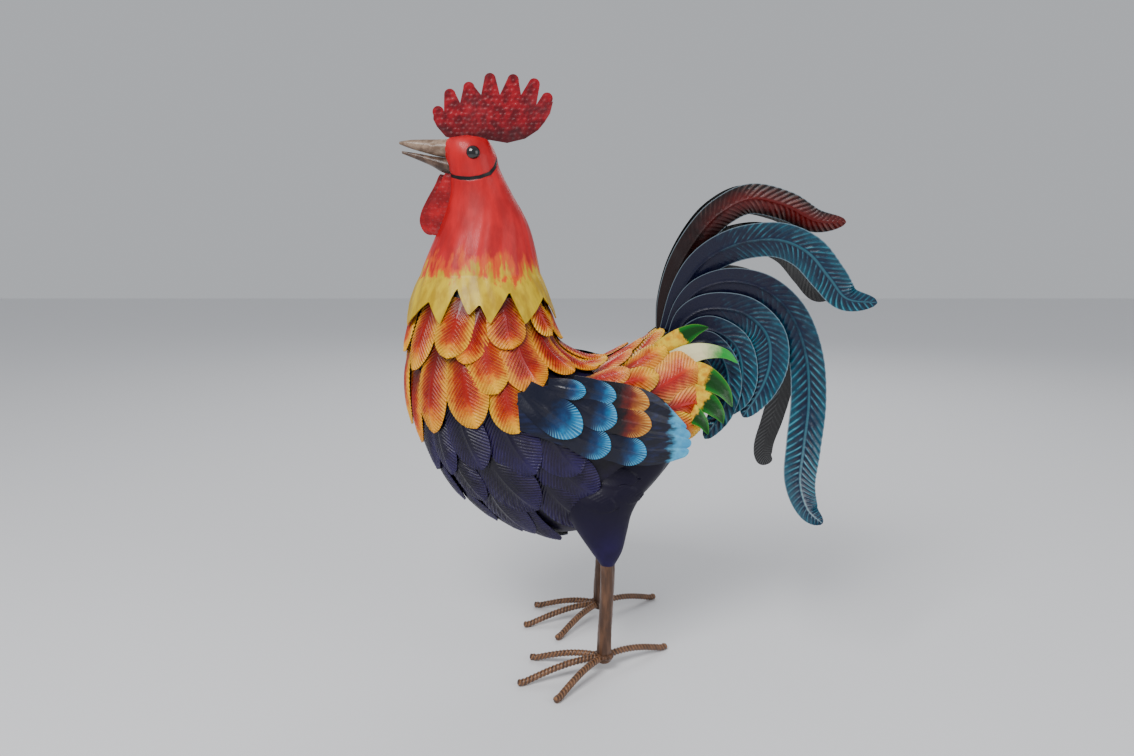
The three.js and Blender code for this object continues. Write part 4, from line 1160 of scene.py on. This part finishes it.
COVERT_SEAT = 1.6 * MM
COVERT_CROWN = 1.2 * MM
COVERT_STAGGER = 0.7 * MM
# Base, tip and width of each wing covert, in pixels of the photograph
COVERT_COLUMNS = [
    [((524, 392), (581, 432), 37), ((548, 385), (586, 391), 19)],
    [((566, 432), (610, 449), 31), ((572, 401), (616, 421), 31), ((572, 383), (616, 397), 22)],
    [((600, 444), (646, 454), 29), ((598, 415), (651, 425), 29), ((596, 389), (649, 404), 26)],
]


def wing_place_at(pixel):
    """The side-view place on the wing that the camera sees at a pixel."""
    place = np.array([0.0, 440.0])
    for _ in range(6):
        here = pixels_of(on_wing(place, np.array(0.0)))
        slope = np.stack([pixels_of(on_wing(place + move, np.array(0.0))) - here
                          for move in ([1.0, 0], [0, 1.0])], -1)
        place = place + np.linalg.solve(slope, np.array(pixel) - here)
    return place


def covert_column(leaves):
    rise = (COVERT_SEAT, COVERT_SEAT + COVERT_LIFT)
    return [leaf_part(on_wing, wing_place_at(base), wing_place_at(tip), wide * PIXEL, rise,
                      COVERT_STAGGER * (k % 2), COVERT_CROWN, tone=float(k == 0), fan=True)
            for k, (base, tip, wide) in enumerate(leaves)]


# Long curved feathers

TAIL_CAMBER = 1.6 * MM
TAIL_COLUMNS = 23
TAIL_ROW = 1.4 * MM
TAIL_RIB_HEIGHT = 0.9 * MM
TAIL_RIB_WIDTH = 1.2 * MM
TAIL_BARB_HEIGHT = 0.5 * MM
TAIL_BARB_PITCH = 5.4 * MM


def sickle_part(path, sideways, width, half_at, camber=TAIL_CAMBER, tone=0.5, relief=1.0):
    """A long feather along a path in side view; half_at gives its half width as a share along it."""
    last = len(path) - 1
    rough = smooth(path, np.linspace(0, last, 200)) * SHARE
    length = np.linalg.norm(np.diff(rough, axis=0), axis=1).sum()
    f = np.linspace(0, 1, int(length / TAIL_ROW))
    middle = smooth(path, f * last)
    ahead, behind = smooth(path, np.minimum(f + 0.01, 1) * last), smooth(path, np.maximum(f - 0.01, 0) * last)
    way = unit(ahead - behind)
    side = np.stack([-way[:, 1], way[:, 0]], -1)
    half = (width / 2 * np.maximum(half_at(f), 0.03))[:, None]
    f, u = grid(f, np.linspace(-1, 1, TAIL_COLUMNS))
    flat = middle[:, None, :] + side[:, None, :] * (u * half / SHARE)[..., None]
    bow = np.abs(u) ** 1.3 * camber * half / (width / 2)
    rib = TAIL_RIB_HEIGHT * np.exp(-((u * half / TAIL_RIB_WIDTH) ** 2)) * (1 - f ** 4)
    barb = (f * length - np.abs(u) * half * 0.9) / TAIL_BARB_PITCH
    share = ease(np.abs(u), 0.08, 0.3) * ease(f, 0.25, 0.5)
    ridge = TAIL_BARB_HEIGHT * np.sin(2 * math.pi * barb) * share
    out = sideways(flat, f) - bow
    lift = out + SHEET + (rib + ridge) * relief
    top = np.stack([flat[..., 0] * SHARE, -lift, flat[..., 1] * SHARE], -1)
    bottom = np.stack([flat[..., 0] * SHARE, -out, flat[..., 1] * SHARE], -1)
    return closed_sheet(top, bottom, np.stack([(u + 1) / 2, f], -1), tone, barb)


def feather_half(f):
    swell = mix(0.55, 1, np.sin(np.clip(f / 0.45, 0, 1) * math.pi / 2))
    return swell * np.clip(1 - np.clip((f - 0.6) / 0.4, 0, 1) ** 2.4, 0, 1) ** 0.5


def horn_half(f):
    return np.clip(1 - f ** 2.2, 0, 1) ** 0.75 * (1 - 0.35 * f)


TAIL_ROOT = (115, 560)
TAIL_REACH = 100
TAIL_ROOT_STEP = 3.6 * MM
TAIL = [
    dict(name="red", splay=4.2, width=27 * MM, path=[
        (107, 575), (113, 626), (132, 686), (164, 740), (199, 776), (244, 796), (301, 784), (349, 760),
        (396, 758)]),
    dict(name="upper", splay=9, width=31 * MM, path=[
        (114, 575), (133, 635), (157, 678), (190, 707), (233, 725), (286, 729), (331, 709), (366, 669),
        (394, 636), (436, 631)]),
    dict(name="long", splay=13, width=28 * MM, path=[
        (120, 573), (139, 619), (168, 648), (214, 660), (267, 647), (310, 605), (334, 539),
        (338, 466), (328, 394), (319, 341), (326, 304), (345, 288)]),
    dict(name="middle", splay=14.3, width=32 * MM, path=[
        (126, 563), (145, 598), (181, 614), (234, 608), (270, 577), (279, 534), (267, 487), (236, 435)]),
    dict(name="inner", splay=14.8, width=28 * MM, path=[
        (132, 554), (155, 573), (184, 578), (221, 556), (234, 516), (229, 475), (204, 438)]),
    dict(name="lower", splay=15.5, width=24 * MM, path=[
        (138, 544), (159, 557), (180, 555), (204, 526), (211, 487), (199, 444), (170, 401)]),
]


def tail_part(index, feather):
    layer = TAIL_ROOT_STEP * (index + 0.7)

    def sideways(flat, _):
        away = np.hypot(flat[..., 0] - TAIL_ROOT[0], flat[..., 1] - TAIL_ROOT[1]) / TAIL_REACH
        return layer + feather["splay"] * SHARE * away ** 2

    return sickle_part(feather["path"], sideways, feather["width"], feather_half)


TAIL_COVERTS = [
    ([(100, 541), (124, 566), (149, 582), (172, 588)], 78, 24),
    ([(116, 528), (142, 543), (168, 549), (198, 546), (218, 532)], 100, 21),
    ([(134, 503), (156, 507), (178, 500), (198, 484), (209, 462)], 112, 30),
    ([(134, 470), (156, 470), (175, 462), (189, 448), (195, 434)], 112, 28),
    ([(130, 448), (148, 444), (162, 434), (170, 418)], 122, 22),
]


PALE_CURL = 0.25  # tone of the second curl
CURL_SEAT = 2.6 * MM
CURL_CAMBER = 0.8 * MM
CURL_RELIEF = 0.15


def curl_parts():
    parts = []
    for k, (path, tip_y, width) in enumerate(TAIL_COVERTS):
        place, _ = locate([path[0]])
        root = on_skin(place, np.array([CURL_SEAT]))[0]
        line = [(root[0] / SHARE, root[2] / SHARE)] + path[1:]

        def sideways(_, f):
            return mix(-root[1], tip_y * SHARE, f ** 2)

        parts.append(sickle_part(line, sideways, width * MM, horn_half, CURL_CAMBER, k / 4, CURL_RELIEF))
    return parts


# Legs

# Height, middle and half width along x, middle and half width along y
THIGH_SECTIONS = [
    (190, 8.5, 12, -109, 12), (215, 6, 27, -108, 20), (247, -1, 42, -104, 29), (278, -6, 55, -99, 37),
    (310, 2, 66, -91, 42), (345, 28, 72, -78, 42), (374, 46, 70, -74, 42),
]
THIGH_RELIEF = 1.2 * MM
THIGH_BARB_HEIGHT = 0.3 * MM


def thigh_part():
    t = np.linspace(0, len(THIGH_SECTIONS) - 1, 140)
    z, x, reach, y, half = smooth(np.array(THIGH_SECTIONS, float), t).T[:, :, None]
    turn = turns(150)[None]
    points = joined(x + reach * np.cos(turn), y + half * np.sin(turn), z)
    relief = pressed(side_view(points * SHARE), THIGH_LEAVES, THIGH_RELIEF, THIGH_BARB_HEIGHT)
    out = joined(np.cos(turn), np.sin(turn), 0 * z)
    return closed_tube(points * SHARE + out * (relief * (points[..., 1] < y))[..., None])


SHANK_LINE = [(3, 12), (4, 50), (6, 100), (8, 150), (8.5, 190)]
SHANK_RADIUS = 6.7 * MM
SHANK_FOOT = 7 * MM


def shank_part(side):
    t = np.linspace(0, 1, 120)[:, None]
    z = mix(SHANK_FOOT, THIGH_SECTIONS[0][0] * SHARE + 1 * MM, t)
    x = smooth(SHANK_LINE, t[:, 0] * (len(SHANK_LINE) - 1))[:, :1] * SHARE
    turn = turns(48)[None]
    twist = turn + 1.6 * t
    facets = 0.035 * np.cos(4 * twist) + 0.025 * np.cos(7 * twist + 3 * t)
    round_points = joined(np.cos(turn), np.sin(turn), z / SHANK_RADIUS)
    radius = SHANK_RADIUS * 0.97 * (1 + facets + 0.018 * lumps(round_points, 1.7, 5 + side))
    radius = radius * (1 - 0.5 * ease(1 - t, 0.985, 1.0))
    y = side * FOOT_SPACING / 2
    points = (x + radius * np.cos(turn), y + radius * np.sin(turn), z)
    return closed_tube(joined(*points))


TOES = {"inner": (15, 73), "middle": (-22, 86), "outer": (-54, 77), "hind": (147, 76)}
TOE_ROD = 6.6 * MM
TOE_ROOT_HEIGHT = 13 * MM
TOE_ARCH = 3 * MM
TOE_FOOTPRINT = 7 * MM
TOE_START = 1.5 * MM  # inside the shank
TOE_REST = TOE_ROD / 2 * 0.866 + 0.35 * MM  # height of the rod's middle on the ground
RIB_PITCH = 3.7 * MM
BEAD = 2.6 * MM


def toe_part(side, turn, length):
    heading = math.radians(turn)
    length = length * MM
    direction = np.array([-math.cos(heading), math.sin(heading), 0])
    across = np.array([-direction[1], direction[0], 0])
    foot = np.array([SHANK_LINE[0][0] * SHARE, side * FOOT_SPACING / 2, 0])
    d = np.linspace(TOE_START, length, 180)
    f = np.clip((d - TOE_START) / (length - TOE_FOOTPRINT - TOE_START), 0, 1)
    middle = mix(TOE_ROOT_HEIGHT, TOE_REST, f ** 1.6) + TOE_ARCH * np.sin(math.pi * f) * (1 - 0.4 * f)
    angle = turns(26)[None]
    phase = 2 * math.pi * d[:, None] / RIB_PITCH
    ribs = ease(np.cos(phase + 2.4 * np.sin(angle)), -0.2, 0.7)
    seams = np.exp(-((np.abs(np.cos(angle)) - 1) / 0.03) ** 2)
    radius = TOE_ROD / 2 * (0.85 + 0.15 * np.maximum(ribs, seams))
    blunt = np.clip((d[:, None] - length + 1.6 * MM) / (1.7 * MM), 0, 1)
    radius = radius * np.sqrt(1 - blunt ** 2)
    points = foot + direction * d[:, None, None] + across * (radius * np.cos(angle))[..., None]
    points[..., 2] = np.maximum(middle[:, None] + radius * np.sin(angle), 0.0)
    # The rib pattern, as tone, places the leg paint's painted highlight.
    return {**closed_tube(points), "tone": ends_added(ribs)}


def weld_part(side):
    """The lumpy bead where the toes meet the shank."""
    around, turn = turns(64)[:, None], turns(20)[None]
    bead = BEAD * (1 + 0.16 * np.sin(17 * around) + 0.08 * np.sin(29 * around + 1))
    reach = SHANK_RADIUS * 0.98 + bead * np.cos(turn)
    z = TOE_ROOT_HEIGHT + 1.2 * MM + bead * 0.9 * np.sin(turn) + 0.5 * MM * np.sin(3 * around)
    points = joined(reach * np.cos(around), reach * np.sin(around), z)
    points = points + [SHANK_LINE[0][0] * SHARE, side * FOOT_SPACING / 2, 0]
    flat = points.reshape(-1, 3)
    faces = grid_faces(65, 20, True) % len(flat)  # the last row is the first again
    return solid(flat, faces.tolist())


# Colours

# Underside colour of the orange leaves, also used as the painted shade on their roots.
UNDERSIDE_AND_ROOT_SHADE = "140503"
HACKLE = leaf_paint("hackle_enamel", ("8c0400", "cc3202", "f29a06"), ("a01400", "d85400", "f2b010"), "ffc028",
                    UNDERSIDE_AND_ROOT_SHADE, core_reach=0.95, strokes=0.35)
BELLY = leaf_paint("belly_enamel", ("100824", "190c36", "201448"), ("0a0618", "140a2a", "1c103c"), "50447c",
                   "050408", core_reach=0.75, strokes=0.25)
SADDLE = leaf_paint("saddle_enamel", ("b01410", "dc5c34", "f4a040"), ("b02004", "e08018", "f2bc18"), "ffc470",
                    UNDERSIDE_AND_ROOT_SHADE, core_reach=0.6, strokes=0.35)
BLUES = ("080c22", "08305c", "1486bc", "84d4ec")
COPPERS = ("0e0810", "701406", "d08420", "f4cc68")
BLUE = covert_paint("covert_blue_enamel", BLUES)
COPPER = covert_paint("covert_copper_enamel", COPPERS, first_shades=BLUES)
TEAL = tail_paint("tail_teal_enamel", root="060926", middle="06203a", edge="0a4458", barb="48a8bc",
                  rib="4ca4b4", tip="082c44", strokes=0.55)
MAROON = tail_paint("tail_maroon_enamel", root="180404", middle="580403", edge="0e0506", barb="84645c",
                    rib="640c06", tip="580c06", strokes=0.5)
SHELL = plain_paint("shell_enamel", "0c0818", "181030", 0.48, 0.05)
TAN = plain_paint("beak_upper_enamel", "6c5646", "a48c78", 0.4, 0.2, size=0.008)
BROWN = plain_paint("beak_lower_enamel", "402e24", "6c5648", 0.4, 0.2, size=0.008)
GLOSS_BLACK = plain_paint("eye_enamel", "040405", "0a0a0c", 0.05, 1.0, depth=0.00005)
BRONZE = bronze_paint()

# Build every piece

make_piece("body_skin", [body_part()], SHELL, ["body_shell"])
make_piece("head_skin", [neck_part()], head_paint(), ["neck_and_head"], sharp=55)
make_piece("comb_plate", [comb_part()], comb_paint(), ["comb"], sharp=60)
make_piece("upper_bill", [beak_part(UPPER_BEAK, math.pi / 2, True)], TAN, ["beak_upper"])
make_piece("lower_bill", [beak_part(LOWER_BEAK, -math.pi / 2)], BROWN, ["beak_lower"])
for rows, name, node, paint, slot in (
        (HACKLE_ROWS, "hackle_leaves_", "hackle_row_", HACKLE, "hackle_orange"),
        (BELLY_ROWS, "belly_leaves_", "belly_row_", BELLY, "belly_violet"),
        (SADDLE_ROWS, "saddle_leaves_", "saddle_row_", SADDLE, "saddle_orange")):
    for k, leaves in enumerate(rows, 1):
        make_piece(name + str(k), leaves, paint, [node + str(k)])

WATTLE, WING, GREEN, THIGH = wattle_paint(), wing_paint(), curl_paint(), thigh_paint()
COVERTS = list(zip([covert_column(leaves) for leaves in COVERT_COLUMNS], (BLUE, BLUE, COPPER),
                   ("covert_blue", "covert_blue", "covert_copper")))
WATTLE_AHEAD = {"left": 0, "right": WATTLE_STEP}

for side, sign in (("left", -1), ("right", 1)):
    wattle = wattle_part(sign * WATTLE_SPREAD / 2, WATTLE_AHEAD[side])
    make_piece("wattle_plate_" + side, [wattle], WATTLE, ["wattle_" + side], sharp=60)
    make_piece("eye_dome_" + side, on_side(side, [eye_part()]), GLOSS_BLACK, ["eye_" + side])
    saddle = on_side(side, SADDLE_SIDE)
    make_piece("saddle_leaves_3_" + side, saddle, SADDLE, ["saddle_row_3_" + side])
    make_piece("wing_sheet_" + side, on_side(side, [wing_part()]), WING, ["wing_" + side])
    for k, (leaves, paint, slot) in enumerate(COVERTS, 1):
        coverts = on_side(side, leaves)
        make_piece(f"covert_leaves_{side}_{k}", coverts, paint, [f"wing_coverts_{side}_{k}"])
    for k, feather in enumerate(TAIL):
        name = feather["name"]
        paint, slot = (MAROON, "tail_maroon") if name == "red" else (TEAL, "tail_teal")
        sickle = on_side(side, [tail_part(k, feather)])
        make_piece(f"sickle_{name}_{side}", sickle, paint, [f"tail_{name}_{side}"])
    curls = on_side(side, curl_parts())
    make_piece("tail_curls_" + side, curls, GREEN, ["tail_coverts_" + side])
    thigh = on_side(side, [thigh_part()])
    make_piece("thigh_cone_" + side, thigh, THIGH, ["thigh_" + side])
    make_piece("shank_bar_" + side, [shank_part(sign)], BRONZE, ["shank_" + side])
    for name, (turn, length) in TOES.items():
        toe = toe_part(sign, turn, length)
        make_piece(f"toe_rod_{name}_{side}", [toe], BRONZE, [f"toe_{name}_{side}"])
    make_piece("weld_bead_" + side, [weld_part(sign)], BRONZE)

# Stage, light and camera

FLOOR_REACH = 4.0
LIGHT_AIM = (0, 0, 0.28)
LIGHTS = [  # name, place, size, watts
    ("key", (-0.7, -1.2, 1.7), (1.0, 0.8), 34),
    ("fill", (1.5, -1.0, 0.9), (1.2, 1.2), 9),
    ("rim", (0.3, 1.6, 1.3), (1.4, 0.8), 8),
]
SKY_COLOUR = (0.92, 0.95, 1.0, 1)
SKY_STRENGTH = 0.52


def stage_floor():
    mesh = bpy.data.meshes.new("floor")
    corners = [(x * FLOOR_REACH, y * FLOOR_REACH, 0) for x, y in ((-1, -1), (1, -1), (1, 1), (-1, 1))]
    mesh.from_pydata(corners, [], [(0, 1, 2, 3)])
    floor = bpy.data.objects.new("floor", mesh)
    bpy.context.scene.collection.objects.link(floor)
    paint = bpy.data.materials.new("pale_floor")
    paint.use_nodes = True
    shader = paint.node_tree.nodes["Principled BSDF"]
    shader.inputs["Base Color"].default_value = (*srgb("e6e6e8"), 1)
    shader.inputs["Roughness"].default_value = 0.6
    mesh.materials.append(paint)


def area_light(name, place, size, watts):
    light = bpy.data.lights.new(name, "AREA")
    light.shape = "RECTANGLE"
    light.size, light.size_y = size
    light.energy = watts
    lamp = bpy.data.objects.new(name, light)
    lamp.location = place
    lamp.rotation_euler = (Vector(LIGHT_AIM) - Vector(place)).to_track_quat("-Z", "Y").to_euler()
    bpy.context.scene.collection.objects.link(lamp)


def world_light():
    world = bpy.data.worlds.new("studio")
    bpy.context.scene.world = world
    world.use_nodes = True
    background = world.node_tree.nodes["Background"]
    background.inputs["Color"].default_value = SKY_COLOUR
    background.inputs["Strength"].default_value = SKY_STRENGTH


def photo_camera():
    data = bpy.data.cameras.new("camera")
    data.sensor_width = FILM
    data.lens = FILM * FOCAL_LENGTH / PHOTO_WIDTH
    camera = bpy.data.objects.new("camera", data)
    camera.location = Vector(CAMERA) + Vector(START)
    camera.rotation_euler = (math.pi / 2 - PITCH, 0, 0)
    bpy.context.scene.collection.objects.link(camera)
    bpy.context.scene.camera = camera


stage_floor()
world_light()
for light in LIGHTS:
    area_light(*light)
photo_camera()
